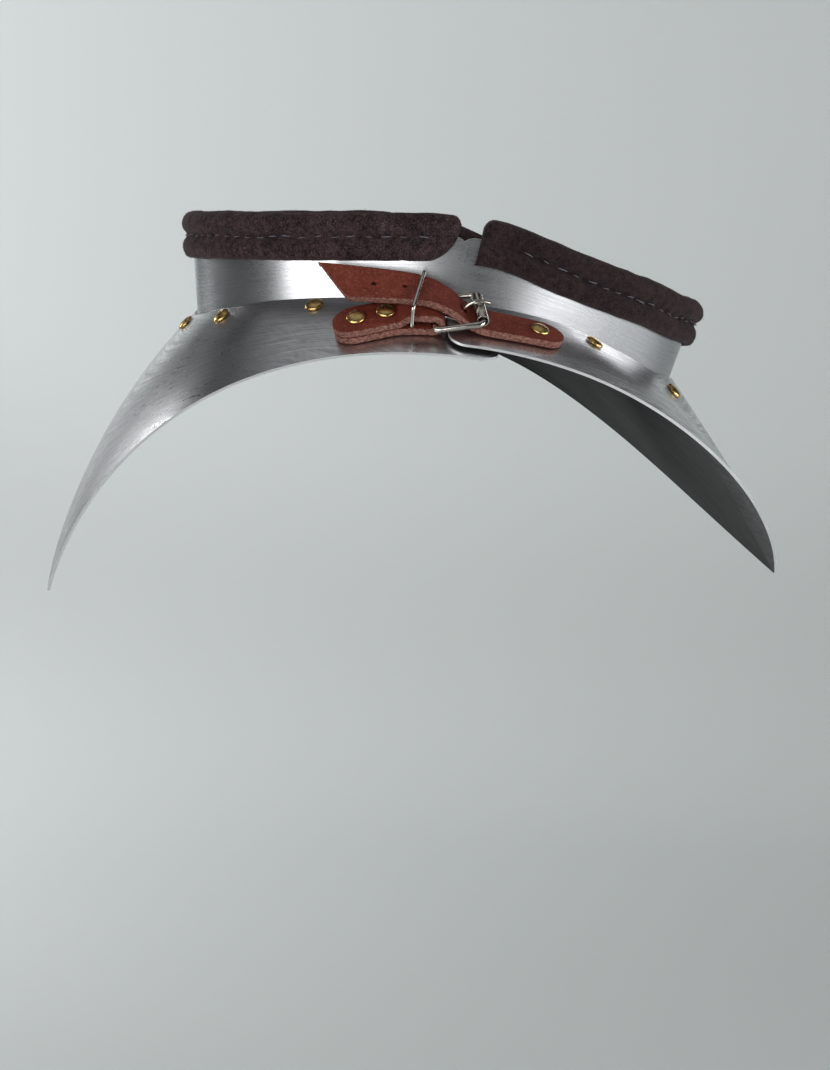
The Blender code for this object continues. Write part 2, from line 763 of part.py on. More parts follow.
def box_cutter(name, middle, directions, sizes):
    """Hidden box cutter along three directions."""
    builder = bmesh.new()
    bmesh.ops.create_cube(builder, size=1)
    for vert in builder.verts:
        place = middle.copy()
        for direction, size, value in zip(directions, sizes, vert.co):
            place += direction * size * value
        vert.co = place
    cutter = add_object(name, builder, STEEL, rounded=False)
    cutter.hide_render = True
    cutter.hide_viewport = True
    cutter.display_type = "WIRE"
    return cutter


def tail(label, sign):
    """Long strap of the front half, through the buckle to its loose tip."""
    places = [tail_place(row, sign) for row in TAIL_ROUTE]
    points, sides = [place[0] for place in places], [place[1] for place in places]
    half = STRAP_WIDTH / 2
    widths = []
    for point in points:
        gone = (point - points[0]).length / TAIL_TIP_CUT
        widths.append((half * max(min(2 * gone - 1, 1), -TAIL_TIP_SHARE), half))
    for i, part in enumerate(ROUND_END):
        widths[-1 - i] = (half * part, half * part)
    thing = sweep(label + "_strap", strip_rings(points, sides, LEATHER, widths), TAN_LEATHER)
    turn, across = math.radians(TAIL_RIVET[0]) * sign, TAIL_RIVET[1] * STRAP_WIDTH
    holes = [rivet_hole(turn, across, TAIL_BED, 2 * LEATHER)]
    cut_holes(thing, hole_cutter(label + "_strap_rivet_hole", holes, RIVET_SHANK + HOLE_CLEARANCE))
    punched = [tail_hole(turn, points, sides) for turn in TAIL_HOLES]
    cut_holes(thing, hole_cutter(label + "_strap_holes", punched, TAIL_HOLE))
    buckled = [tail_hole(PRONG_TURN, points, sides)]
    cut_holes(thing, hole_cutter(label + "_prong_hole", buckled, PRONG_HOLE))


def tail_hole(turn, points, sides):
    """Hole through the middle of the buckled strap at a turn in degrees."""
    rows = [row[0] for row in TAIL_ROUTE]
    i = max(k for k in range(len(rows) - 1) if rows[k] <= turn)
    t = (turn - rows[i]) / (rows[i + 1] - rows[i])
    axis = (points[i + 1] - points[i]).cross(sides[i].lerp(sides[i + 1], t)).normalized()
    return points[i].lerp(points[i + 1], t), axis, 2 * LEATHER


def buckle_frame(label, sign):
    """Bent wire frame: its hinge bar lies in the fold and its other bar carries the roller."""
    reach = FRAME_INNER / 2 + BAR
    hinge, roller = math.radians(HINGE_TURN) * sign, math.radians(ROLLER_TURN) * sign
    corners = [
        over(hinge, FRAME_ACROSS_HINGE, BAR_HEIGHT) + uphill(hinge, FRAME_ACROSS_HINGE) * reach,
        over(hinge, FRAME_ACROSS_HINGE, BAR_HEIGHT) - uphill(hinge, FRAME_ACROSS_HINGE) * reach,
        over(roller, FRAME_ACROSS_ROLLER, roller_height()) - uphill(roller, FRAME_ACROSS_ROLLER) * reach,
        over(roller, FRAME_ACROSS_ROLLER, roller_height()) + uphill(roller, FRAME_ACROSS_ROLLER) * reach,
    ]
    points = rounded_loop(corners, FRAME_CORNER)
    sweep(label + "_buckle_frame", wire_rings(points, BAR, closed=True), NICKEL, closed=True)


def buckle_roller(label, sign):
    """Short tube that turns on the frame's outer bar."""
    turn = math.radians(ROLLER_TURN) * sign
    middle = over(turn, FRAME_ACROSS_ROLLER, roller_height())
    axis = uphill(turn, FRAME_ACROSS_ROLLER)
    guide = axis.orthogonal().normalized()
    other = axis.cross(guide)
    half = FRAME_INNER / 2 + BAR - FRAME_CORNER - GAP
    profile = ((ROLLER, -half), (ROLLER, half), (BAR + GAP, half), (BAR + GAP, -half))
    rings = []
    for k in range(RIVET_SIDES):
        angle = 2 * math.pi * k / RIVET_SIDES
        spoke = guide * math.cos(angle) + other * math.sin(angle)
        rings.append([middle + axis * along + spoke * radius for radius, along in profile])
    sweep(label + "_buckle_roller", rings, NICKEL, closed=True)


def buckle_prong(label, sign):
    """Wire prong: hooked around the hinge bar, up through the strap and over the roller."""
    middle, ahead, _, up = hinge_frame(sign)
    radius = BAR + GAP + PRONG
    points = []
    for degrees in PRONG_HOOK:
        angle = math.radians(degrees)
        points.append(middle + (ahead * math.cos(angle) + up * math.sin(angle)) * radius)
    levels = {
        "bar": BAR_HEIGHT,
        "hole": tail_height(PRONG_TURN),
        "roller": roller_height() + ROLLER + GAP + PRONG,
    }
    for turn, level, raised in PRONG_ROUTE:
        height = levels[level] + raised * PRONG
        share_way = (turn - HINGE_TURN) / (ROLLER_TURN - HINGE_TURN)
        across = FRAME_ACROSS_HINGE + (FRAME_ACROSS_ROLLER - FRAME_ACROSS_HINGE) * share_way
        points.append(over(math.radians(turn) * sign, across, height))
    sweep(label + "_buckle_prong", wire_rings(points, PRONG), NICKEL)


def keeper_side(degrees, way, sign):
    """Lower and upper corner of the keeper beside both straps; way is 1 towards the collar, else -1."""
    turn = math.radians(degrees) * sign
    across = route_at(CHAPE_ROUTE, degrees)[1] * STRAP_WIDTH
    fold = over(turn, across, BAR_HEIGHT)
    side = uphill(turn, across)
    up = plate_normal(turn, across / plate_span(turn))
    point, tail_side = tail_place(route_at(TAIL_ROUTE, degrees), sign)
    tail_edge = point + tail_side * way * STRAP_WIDTH / 2 - fold
    room = KEEPER_WIRE + KEEPER_ROOM
    reach = max(STRAP_WIDTH / 2, tail_edge.dot(side) * way) + room
    low = fold + side * way * reach
    return low, low + up * (tail_edge.dot(up) + LEATHER / 2 + room)


def keeper(label, sign):
    """Wire loop that hangs in the fold and holds the loose strap down."""
    low, high = keeper_side(KEEPER_TURNS[0], -1, sign)
    far_low, far_high = keeper_side(KEEPER_TURNS[1], 1, sign)
    points = rounded_loop([low, high, far_high, far_low], KEEPER_BEND)
    sweep(label + "_keeper", wire_rings(points, KEEPER_WIRE, closed=True), NICKEL, closed=True)


def plate_rivets(half, turns):
    """Rivets that hold a plate on its collar's flange; returns their holes."""
    level, _ = HALVES[half]
    high = level * LAYER + SHEET / 2 + GAP
    low = (level - 1) * LAYER - SHEET / 2 - RIVET_TAIL_GAP
    holes = []
    for number, degrees in enumerate(turns, start=1):
        turn = math.radians(degrees)
        rivet(f"{half}_rivet_{number}", turn, RIVET_LINE, low, high)
        holes.append(rivet_hole(turn, RIVET_LINE, (low + high) / 2, 4 * LAYER))
    return holes


def strap_rivets(label, sign):
    """Rivets through the leather of one side; returns the holes in the back and the front plate."""
    back_holes, front_holes = [], []
    for number, (degrees, share_out) in enumerate(CHAPE_RIVETS, start=1):
        turn, across = math.radians(degrees) * sign, share_out * STRAP_WIDTH
        low = -SHEET / 2 - RIVET_TAIL_GAP
        rivet(f"{label}_chape_rivet_{number}", turn, across, low, CHAPE_TOP + GAP)
        back_holes.append(rivet_hole(turn, across, 0, 4 * LAYER))
    turn, across = math.radians(TAIL_RIVET[0]) * sign, TAIL_RIVET[1] * STRAP_WIDTH
    low = 2 * LAYER - SHEET / 2 - RIVET_TAIL_GAP
    rivet(label + "_strap_rivet", turn, across, low, TAIL_BED + LEATHER / 2 + GAP)
    front_holes.append(rivet_hole(turn, across, 2 * LAYER, 4 * LAYER))
    return back_holes, front_holes


def build():
    """Model both halves and the straps of both sides."""
    holes = {"back": plate_rivets("back", BACK_RIVETS), "front": plate_rivets("front", FRONT_RIVETS)}
    extra = {"back": [], "front": []}
    for label, sign in (("left", 1), ("right", -1)):
        chape(label, sign)
        tail(label, sign)
        buckle_frame(label, sign)
        buckle_roller(label, sign)
        buckle_prong(label, sign)
        keeper(label, sign)
        back_holes, front_holes = strap_rivets(label, sign)
        extra["back"] += back_holes
        extra["front"] += front_holes
    radius = RIVET_SHANK + HOLE_CLEARANCE
    for half in HALVES:
        cut_holes(collar(half), hole_cutter(half + "_flange_holes", holes[half], radius))
        cut_holes(plate(half), hole_cutter(half + "_plate_holes", holes[half] + extra[half], radius))
        pad(half)


clear_scene()
build()
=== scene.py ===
"""Looks of a worn steel gorget: brushed plates, a padded neck and buckled straps in a plain studio.

Everything is in metres, +Z up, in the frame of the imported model. The front of the gorget faces -Y. A
"turn" is the angle around the neck from the middle of the back (0) to the middle of the front (pi).
"""

from __future__ import annotations

import logging
import math
import random
from dataclasses import dataclass
from enum import Enum
from functools import lru_cache

import bmesh
import bpy
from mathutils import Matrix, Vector, noise

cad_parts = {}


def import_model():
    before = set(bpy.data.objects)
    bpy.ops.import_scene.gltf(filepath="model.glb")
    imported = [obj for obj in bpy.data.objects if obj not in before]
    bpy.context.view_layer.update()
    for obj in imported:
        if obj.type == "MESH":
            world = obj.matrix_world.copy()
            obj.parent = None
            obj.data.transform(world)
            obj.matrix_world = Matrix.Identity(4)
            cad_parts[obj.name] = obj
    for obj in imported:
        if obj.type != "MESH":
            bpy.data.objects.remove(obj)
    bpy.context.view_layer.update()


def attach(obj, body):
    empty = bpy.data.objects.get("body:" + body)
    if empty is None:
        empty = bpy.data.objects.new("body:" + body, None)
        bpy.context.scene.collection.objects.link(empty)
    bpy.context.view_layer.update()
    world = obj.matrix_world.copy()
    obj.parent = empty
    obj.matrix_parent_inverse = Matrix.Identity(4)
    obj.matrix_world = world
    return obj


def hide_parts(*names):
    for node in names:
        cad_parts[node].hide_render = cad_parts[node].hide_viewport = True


log = logging.getLogger("gorget")

MM = 0.001


class Half(Enum):
    """The two halves of the gorget."""

    BACK = "back"
    FRONT = "front"


class Side(Enum):
    """The wearer's two sides, with the sign of their turns."""

    LEFT = 1
    RIGHT = -1

    @property
    def label(self) -> str:
        """Lower-case name of the side."""
        return self.name.lower()


class Socket:
    """One value in a shader tree that Python's operators work on."""

    def __init__(self, finish: "ShaderTree", socket: bpy.types.NodeSocket) -> None:
        """Wrap an output socket of a tree."""
        self.finish = finish
        self.socket = socket

    def maths(self, operation: str, first: object, second: object = None) -> "Socket":
        """Add one Math node.

        Args:
            operation: name of the Math node's operation.
            first: its first value, a number or a Socket.
            second: its second value, where it has one.

        Returns:
            The node's result.
        """
        values = {0: first} if second is None else {0: first, 1: second}
        return self.finish.node("ShaderNodeMath", {"operation": operation}, values)

    def __add__(self, other: object) -> "Socket":
        """Sum."""
        return self.maths("ADD", self, other)

    def __radd__(self, other: object) -> "Socket":
        """Sum with a number first."""
        return self.maths("ADD", other, self)

    def __sub__(self, other: object) -> "Socket":
        """Difference."""
        return self.maths("SUBTRACT", self, other)

    def __rsub__(self, other: object) -> "Socket":
        """Difference from a number."""
        return self.maths("SUBTRACT", other, self)

    def __mul__(self, other: object) -> "Socket":
        """Product."""
        return self.maths("MULTIPLY", self, other)

    def step(self, low: float, high: float) -> "Socket":
        """Smooth step from 0 at low to 1 at high.

        Args:
            low: value that gives 0.
            high: value that gives 1.

        Returns:
            The stepped value.
        """
        settings = {"interpolation_type": "SMOOTHSTEP"}
        return self.finish.node("ShaderNodeMapRange", settings, {0: self, 1: low, 2: high}, "Result")


class ShaderTree:
    """A material's node tree, with one method that adds any node."""

    def __init__(self, name: str) -> None:
        """Start a material that holds one Principled shader.

        Args:
            name: the material's name.
        """
        self.material = bpy.data.materials.new(name)
        self.material.use_nodes = True
        self.tree = self.material.node_tree
        self.shader = self.tree.nodes["Principled BSDF"]

    def link(self, target: bpy.types.NodeSocket, value: object) -> None:
        """Set a socket from a number, a tuple or a Socket.

        Args:
            target: the input socket.
            value: what it gets.
        """
        if isinstance(value, Socket):
            self.tree.links.new(value.socket, target)
        elif isinstance(value, tuple) and target.type == "RGBA" and len(value) == 3:
            target.default_value = (*value, 1)
        else:
            target.default_value = value

    def node(self, kind: str, settings: dict | None = None, values: dict | None = None,
             output: str | int = 0) -> Socket:
        """Add a node.

        Args:
            kind: the node's type name.
            settings: its own settings, set first.
            values: its inputs, by name or place.
            output: the name or place of the output that is wanted.

        Returns:
            That output.
        """
        made = self.tree.nodes.new(kind)
        for key, value in (settings or {}).items():
            setattr(made, key, value)
        for key, value in (values or {}).items():
            self.link(made.inputs[key], value)
        return Socket(self, made.outputs[output])

    def place(self) -> Socket:
        """Object coordinates, in metres."""
        return self.node("ShaderNodeTexCoord", output="Object")

    def along(self) -> Socket:
        """The piece's own map: metres along it and metres across it."""
        return self.node("ShaderNodeUVMap", {"uv_map": "Lay"})

    def ordinate(self, axis: str) -> Socket:
        """One of the object coordinates, by the letter of its axis."""
        return self.node("ShaderNodeSeparateXYZ", None, {"Vector": self.place()}, axis)

    def mark(self, name: str) -> Socket:
        """How far a spot of the mesh carries one of its own marks, from 0 to 1."""
        return self.node("ShaderNodeAttribute", {"attribute_name": name}, None, "Fac")

    def stretched(self, vector: Socket, scale: tuple[float, float, float], turn: float = 0) -> Socket:
        """Coordinates multiplied by a scale of their own along each axis.

        Args:
            vector: the coordinates.
            scale: factor along each axis.
            turn: angle about Z, in radians.

        Returns:
            The new coordinates.
        """
        turned = {"Vector": vector, "Rotation": (0, 0, turn)}
        before = self.node("ShaderNodeMapping", None, turned) if turn else vector
        return self.node("ShaderNodeMapping", None, {"Vector": before, "Scale": scale})

    def noise(self, vector: Socket, scale: float, detail: float = 2, rough: float = 0.5) -> Socket:
        """Noise from 0 to 1.

        Args:
            vector: coordinates.
            scale: how many features there are in one unit.
            detail: octaves.
            rough: strength of the finer octaves.

        Returns:
            The noise value.
        """
        values = {"Vector": vector, "Scale": scale, "Detail": detail, "Roughness": rough}
        return self.node("ShaderNodeTexNoise", None, values)

    def cells(self, vector: Socket, scale: float) -> Socket:
        """Distance to the nearest point of a scatter of cells.

        Args:
            vector: coordinates.
            scale: cells in one unit.

        Returns:
            The distance.
        """
        return self.node("ShaderNodeTexVoronoi", None, {"Vector": vector, "Scale": scale})

    def blend(self, share: object, first: object, second: object) -> Socket:
        """Mix two colours.

        Args:
            share: how much of the second.
            first: first colour.
            second: second colour.

        Returns:
            The mixed colour.
        """
        return self.node("ShaderNodeMix", {"data_type": "RGBA"}, {0: share, 6: first, 7: second}, 2)

    def bump(self, height: Socket, distance: float, strength: float,
             under: Socket | None = None) -> Socket:
        """Bumped normal.

        Args:
            height: 0 to 1.
            distance: depth in metres that 1 stands for.
            strength: share of the effect.
            under: a normal that this one is laid on.

        Returns:
            The normal.
        """
        values = {"Height": height, "Distance": distance, "Strength": strength}
        if under:
            values["Normal"] = under
        return self.node("ShaderNodeBump", None, values)

    def dress(self, **inputs: object) -> bpy.types.Material:
        """Set the shader's inputs.

        Args:
            inputs: values by input name, with underscores for spaces.

        Returns:
            The finished material.
        """
        for key, value in inputs.items():
            self.link(self.shader.inputs[key.replace("_", " ")], value)
        return self.material


@dataclass(frozen=True)
class BrushedSteel:
    """Sheet steel, brushed by hand along the sheet and lightly handled.

    The mark Inner is 1 on its dull inner face, which is painted near black as painted shade, and the mark Rim
    is 1 on its edges, which are painted near white as a painted highlight.
    """

    name: str = "brushed_steel"
    color: tuple[float, float, float] = (0.64, 0.645, 0.66)
    shadow: tuple[float, float, float] = (0.38, 0.385, 0.40)
    # Painted shade: the two inner colours paint the inner face near black, standing in for the shade and dark
    # reflections inside the neck; the lighter one marks wear.
    inside: tuple[float, float, float] = (0.012, 0.012, 0.013)
    inside_worn: tuple[float, float, float] = (0.036, 0.036, 0.038)
    # Painted highlight: the rims are painted near white, standing in for the light that their rounded edges
    # mirror.
    filed: tuple[float, float, float] = (0.95, 0.95, 0.96)
    roughness: float = 0.29
    streak: float = 0.14
    lean: float = 0.0
    grain: float = 1500
    contrast: float = 2.6
    depth: float = 0.012 * MM

    def make(self) -> bpy.types.Material:
        """Build the material.

        Returns:
            The material.
        """
        tree = ShaderTree(self.name)
        lay = tree.along()
        long = tree.noise(tree.stretched(lay, (24, self.grain, 1), self.lean), 1, 4, 0.65)
        fine = tree.noise(tree.stretched(lay, (70, self.grain * 3, 1), self.lean + 0.06), 1, 2, 0.6)
        cross = tree.noise(tree.stretched(lay, (45, self.grain * 1.4, 1), self.lean + 0.45), 1, 2, 0.6)
        cloud = tree.noise(tree.place(), 26, 3, 0.55)
        smudge = tree.noise(tree.place(), 95, 3, 0.6)
        marks = long * 0.60 + fine * 0.24 + cross * 0.16
        patina = (cloud * 0.6 + smudge * 0.4).step(0.38, 0.68)
        outer = tree.blend((marks - 0.5) * self.contrast + patina * 0.3 + 0.3, self.color, self.shadow)
        # Painted shade: the inner face is painted near black, with lighter patches of wear.
        inner_painted_shade = tree.blend(patina * 0.6 + (marks - 0.5), self.inside, self.inside_worn)
        inner = tree.mark("Inner").step(0.6, 0.9)
        # Painted highlight: the rims are painted near white.
        rim = tree.mark("Rim").step(0.1, 0.4)
        tone = tree.blend(rim, tree.blend(inner, outer, inner_painted_shade), self.filed)
        rough = self.roughness + (marks - 0.5) * self.streak * 2 + (patina - 0.5) * 0.06
        rough = rough + inner * 0.22 + rim * 0.2
        normal = tree.bump(marks, self.depth, 1.0)
        wave = tree.noise(tree.place(), 14, 1, 0.4)
        normal = tree.bump(wave, 0.4 * MM, 0.15, normal)
        return tree.dress(Base_Color=tone, Roughness=rough, Metallic=1.0, Normal=normal)


@dataclass(frozen=True)
class WoolFelt:
    """Dark chocolate wool felt with a short nap and pale lint, painted lighter at the back pad and darker at
    the front pad as painted light and shade.
    """

    name: str = "wool_felt"
    color: tuple[float, float, float] = (0.009, 0.0050, 0.006)
    nap: tuple[float, float, float] = (0.082, 0.048, 0.053)
    lint: tuple[float, float, float] = (0.30, 0.25, 0.25)

    def make(self) -> bpy.types.Material:
        """Build the material.

        Returns:
            The material.
        """
        tree = ShaderTree(self.name)
        place = tree.place()
        fuzz = tree.noise(place, 1500, 4, 0.75)
        tufts = tree.noise(place, 420, 3, 0.6)
        patch = tree.noise(place, 60, 2, 0.5)
        lay = (fuzz * 0.55 + tufts * 0.3 + patch * 0.15).step(0.40, 0.62)
        # Painted light and shade: the nap and lint are painted lighter at the back pad and darker at the
        # front pad.
        painted_light_at_back = tree.ordinate("Y").step(-0.02, 0.02)
        cloth = tree.blend(lay * (0.45 + painted_light_at_back * 0.55), self.color, self.nap)
        specks = tree.noise(place, 2100, 2, 0.4).step(0.64, 0.74)
        spread = tree.noise(place, 130, 2, 0.5).step(0.42, 0.7)
        tone = tree.blend(specks * spread * (0.35 + painted_light_at_back * 0.4), cloth, self.lint)
        normal = tree.bump(fuzz * 0.6 + tufts * 0.4, 0.45 * MM, 0.9)
        return tree.dress(Base_Color=tone, Roughness=0.95, Normal=normal, Sheen_Weight=0.15,
                          Sheen_Roughness=0.5, Sheen_Tint=(0.55, 0.46, 0.46), Specular_IOR_Level=0.15)


@dataclass(frozen=True)
class StrapLeather:
    """Reddish brown strap leather; the mark Raw is 1 on its fibrous cut edges."""

    name: str = "strap_leather"
    color: tuple[float, float, float] = (0.120, 0.020, 0.011)
    worn: tuple[float, float, float] = (0.26, 0.058, 0.034)
    raw: tuple[float, float, float] = (0.40, 0.190, 0.150)
    raw_shade: tuple[float, float, float] = (0.10, 0.036, 0.027)

    def make(self) -> bpy.types.Material:
        """Build the material.

        Returns:
            The material.
        """
        tree = ShaderTree(self.name)
        place = tree.place()
        cut = tree.mark("Raw")
        grain = tree.cells(place, 1500)
        pores = tree.noise(place, 900, 3, 0.6)
        cloud = tree.noise(place, 75, 4, 0.6)
        scuffs = tree.noise(tree.stretched(tree.along(), (180, 1500, 1), 0.3), 1, 3, 0.6)
        wear = (cloud * 0.35 + scuffs * 0.25 + pores * 0.4).step(0.38, 0.66)
        face = tree.blend(wear, self.color, self.worn)
        fibre = tree.noise(tree.stretched(tree.along(), (700, 2600, 1)), 1, 3, 0.7)
        edge = tree.blend((fibre * 0.6 + pores * 0.4).step(0.40, 0.62), self.raw_shade, self.raw)
        ragged = (cut + (pores - 0.5) * 1.1).step(0.40, 0.60)
        tone = tree.blend(ragged, face, edge)
        skin = (1 - grain) * 0.5 + pores * 0.5
        normal = tree.bump(skin, 0.18 * MM, 0.9)
        normal = tree.bump(fibre * ragged, 0.45 * MM, 0.9, normal)
        rough = 0.46 + wear * 0.12 + ragged * 0.38
        return tree.dress(Base_Color=tone, Roughness=rough, Normal=normal, Specular_IOR_Level=0.28)


@dataclass(frozen=True)
class AgedBrass:
    """Domed brass, browned a little where fingers don't reach."""

    name: str = "aged_brass"
    color: tuple[float, float, float] = (0.72, 0.50, 0.20)
    dull: tuple[float, float, float] = (0.40, 0.25, 0.09)

    def make(self) -> bpy.types.Material:
        """Build the material.

        Returns:
            The material.
        """
        tree = ShaderTree(self.name)
        place = tree.place()
        stain = tree.noise(place, 620, 4, 0.65).step(0.40, 0.72)
        fine = tree.noise(place, 2600, 2, 0.5)
        tone = tree.blend(stain * 0.8, self.color, self.dull)
        normal = tree.bump(tree.noise(place, 900, 2, 0.5), 0.12 * MM, 0.5)
        rough = 0.20 + stain * 0.22 + fine * 0.08
        return tree.dress(Base_Color=tone, Roughness=rough, Metallic=1.0, Normal=normal)


@dataclass(frozen=True)
class NickelPlate:
    """Bright nickel on bent wire, with faint drawing lines."""

    name: str = "nickel_plate"
    color: tuple[float, float, float] = (0.62, 0.585, 0.53)
    dull: tuple[float, float, float] = (0.30, 0.265, 0.225)

    def make(self) -> bpy.types.Material:
        """Build the material.

        Returns:
            The material.
        """
        tree = ShaderTree(self.name)
        place = tree.place()
        stain = tree.noise(place, 480, 4, 0.6).step(0.46, 0.76)
        scratch = tree.noise(tree.stretched(tree.along(), (240, 4200, 1)), 1, 3, 0.6)
        tone = tree.blend(stain * 0.6, self.color, self.dull)
        normal = tree.bump(scratch, 0.03 * MM, 0.6)
        rough = 0.12 + stain * 0.16 + scratch * 0.08
        return tree.dress(Base_Color=tone, Roughness=rough, Metallic=1.0, Normal=normal)


@dataclass(frozen=True)
class PlainMatt:
    """Plain rough finish for thread and loose fibres."""

    name: str
    color: tuple[float, float, float]
    shade: tuple[float, float, float]
    scale: float = 900
    roughness: float = 0.9

    def make(self) -> bpy.types.Material:
        """Build the material.

        Returns:
            The material.
        """
        tree = ShaderTree(self.name)
        grain = tree.noise(tree.place(), self.scale, 3, 0.6).step(0.3, 0.7)
        return tree.dress(Base_Color=tree.blend(grain, self.color, self.shade), Roughness=self.roughness,
                          Specular_IOR_Level=0.2)


@lru_cache(maxsize=None)
def finish_named(finish: object) -> bpy.types.Material:
    """Make each finish once.

    Args:
        finish: one of the finish classes above.

    Returns:
        Its material.
    """
    return finish.make()


STEEL = BrushedSteel()
PLATE_STEEL = BrushedSteel(name="brushed_plate_steel", color=(0.78, 0.785, 0.80), shadow=(0.47, 0.475, 0.49),
                           lean=0.35, roughness=0.32, grain=520, streak=0.24, contrast=5.0, depth=0.024 * MM)
FELT = WoolFelt()
LEATHER = StrapLeather()
BRASS = AgedBrass()
NICKEL = NickelPlate()
THREAD = PlainMatt("grey_thread", (0.24, 0.24, 0.28), (0.07, 0.07, 0.09), 2500, 0.7)
NAP = PlainMatt("felt_nap", (0.085, 0.058, 0.060), (0.030, 0.020, 0.022), 300, 0.9)


def smooth(value: float, low: float, high: float) -> float:
    """Smooth step.

    Args:
        value: what is stepped.
        low: value that gives 0.
        high: value that gives 1.

    Returns:
        A number from 0 to 1.
    """
    t = min(max((value - low) / (high - low), 0), 1)
    return t * t * (3 - 2 * t)


def circle(sides: int) -> list[float]:
    """Evenly spread angles of a full turn."""
    return [2 * math.pi * k / sides for k in range(sides)]


def round_end(left: float, radius: float, least: float = 0.004) -> float:
    """Share of the full width that is left near a round end.

    Args:
        left: distance to the end.
        radius: the end's radius.
        least: smallest square of the share, which keeps the end's faces open.

    Returns:
        The share.
    """
    return math.sqrt(max(1 - (1 - min(left / radius, 1)) ** 2, least))


def placed(name: str, data: bpy.types.ID) -> bpy.types.Object:
    """Add an object to the scene.

    Args:
        name: its name.
        data: its mesh, light or camera.

    Returns:
        The object.
    """
    made = bpy.data.objects.new(name, data)
    bpy.context.scene.collection.objects.link(made)
    return made


def through(points: list, at: float) -> object:
    """Point of a smooth curve through evenly numbered points.

    Args:
        points: numbers or vectors.
        at: place between the first (0) and the last (len - 1).

    Returns:
        The curve's value there.
    """
    i = min(max(int(at), 0), len(points) - 2)
    t = at - i
    a = points[max(i - 1, 0)]
    b, c = points[i], points[i + 1]
    d = points[min(i + 2, len(points) - 1)]
    return b + (c - a) * (t * 0.5) + (a * 2 - b * 5 + c * 4 - d) * (t * t * 0.5) + (
        b * 3 - a - c * 3 + d) * (t * t * t * 0.5)


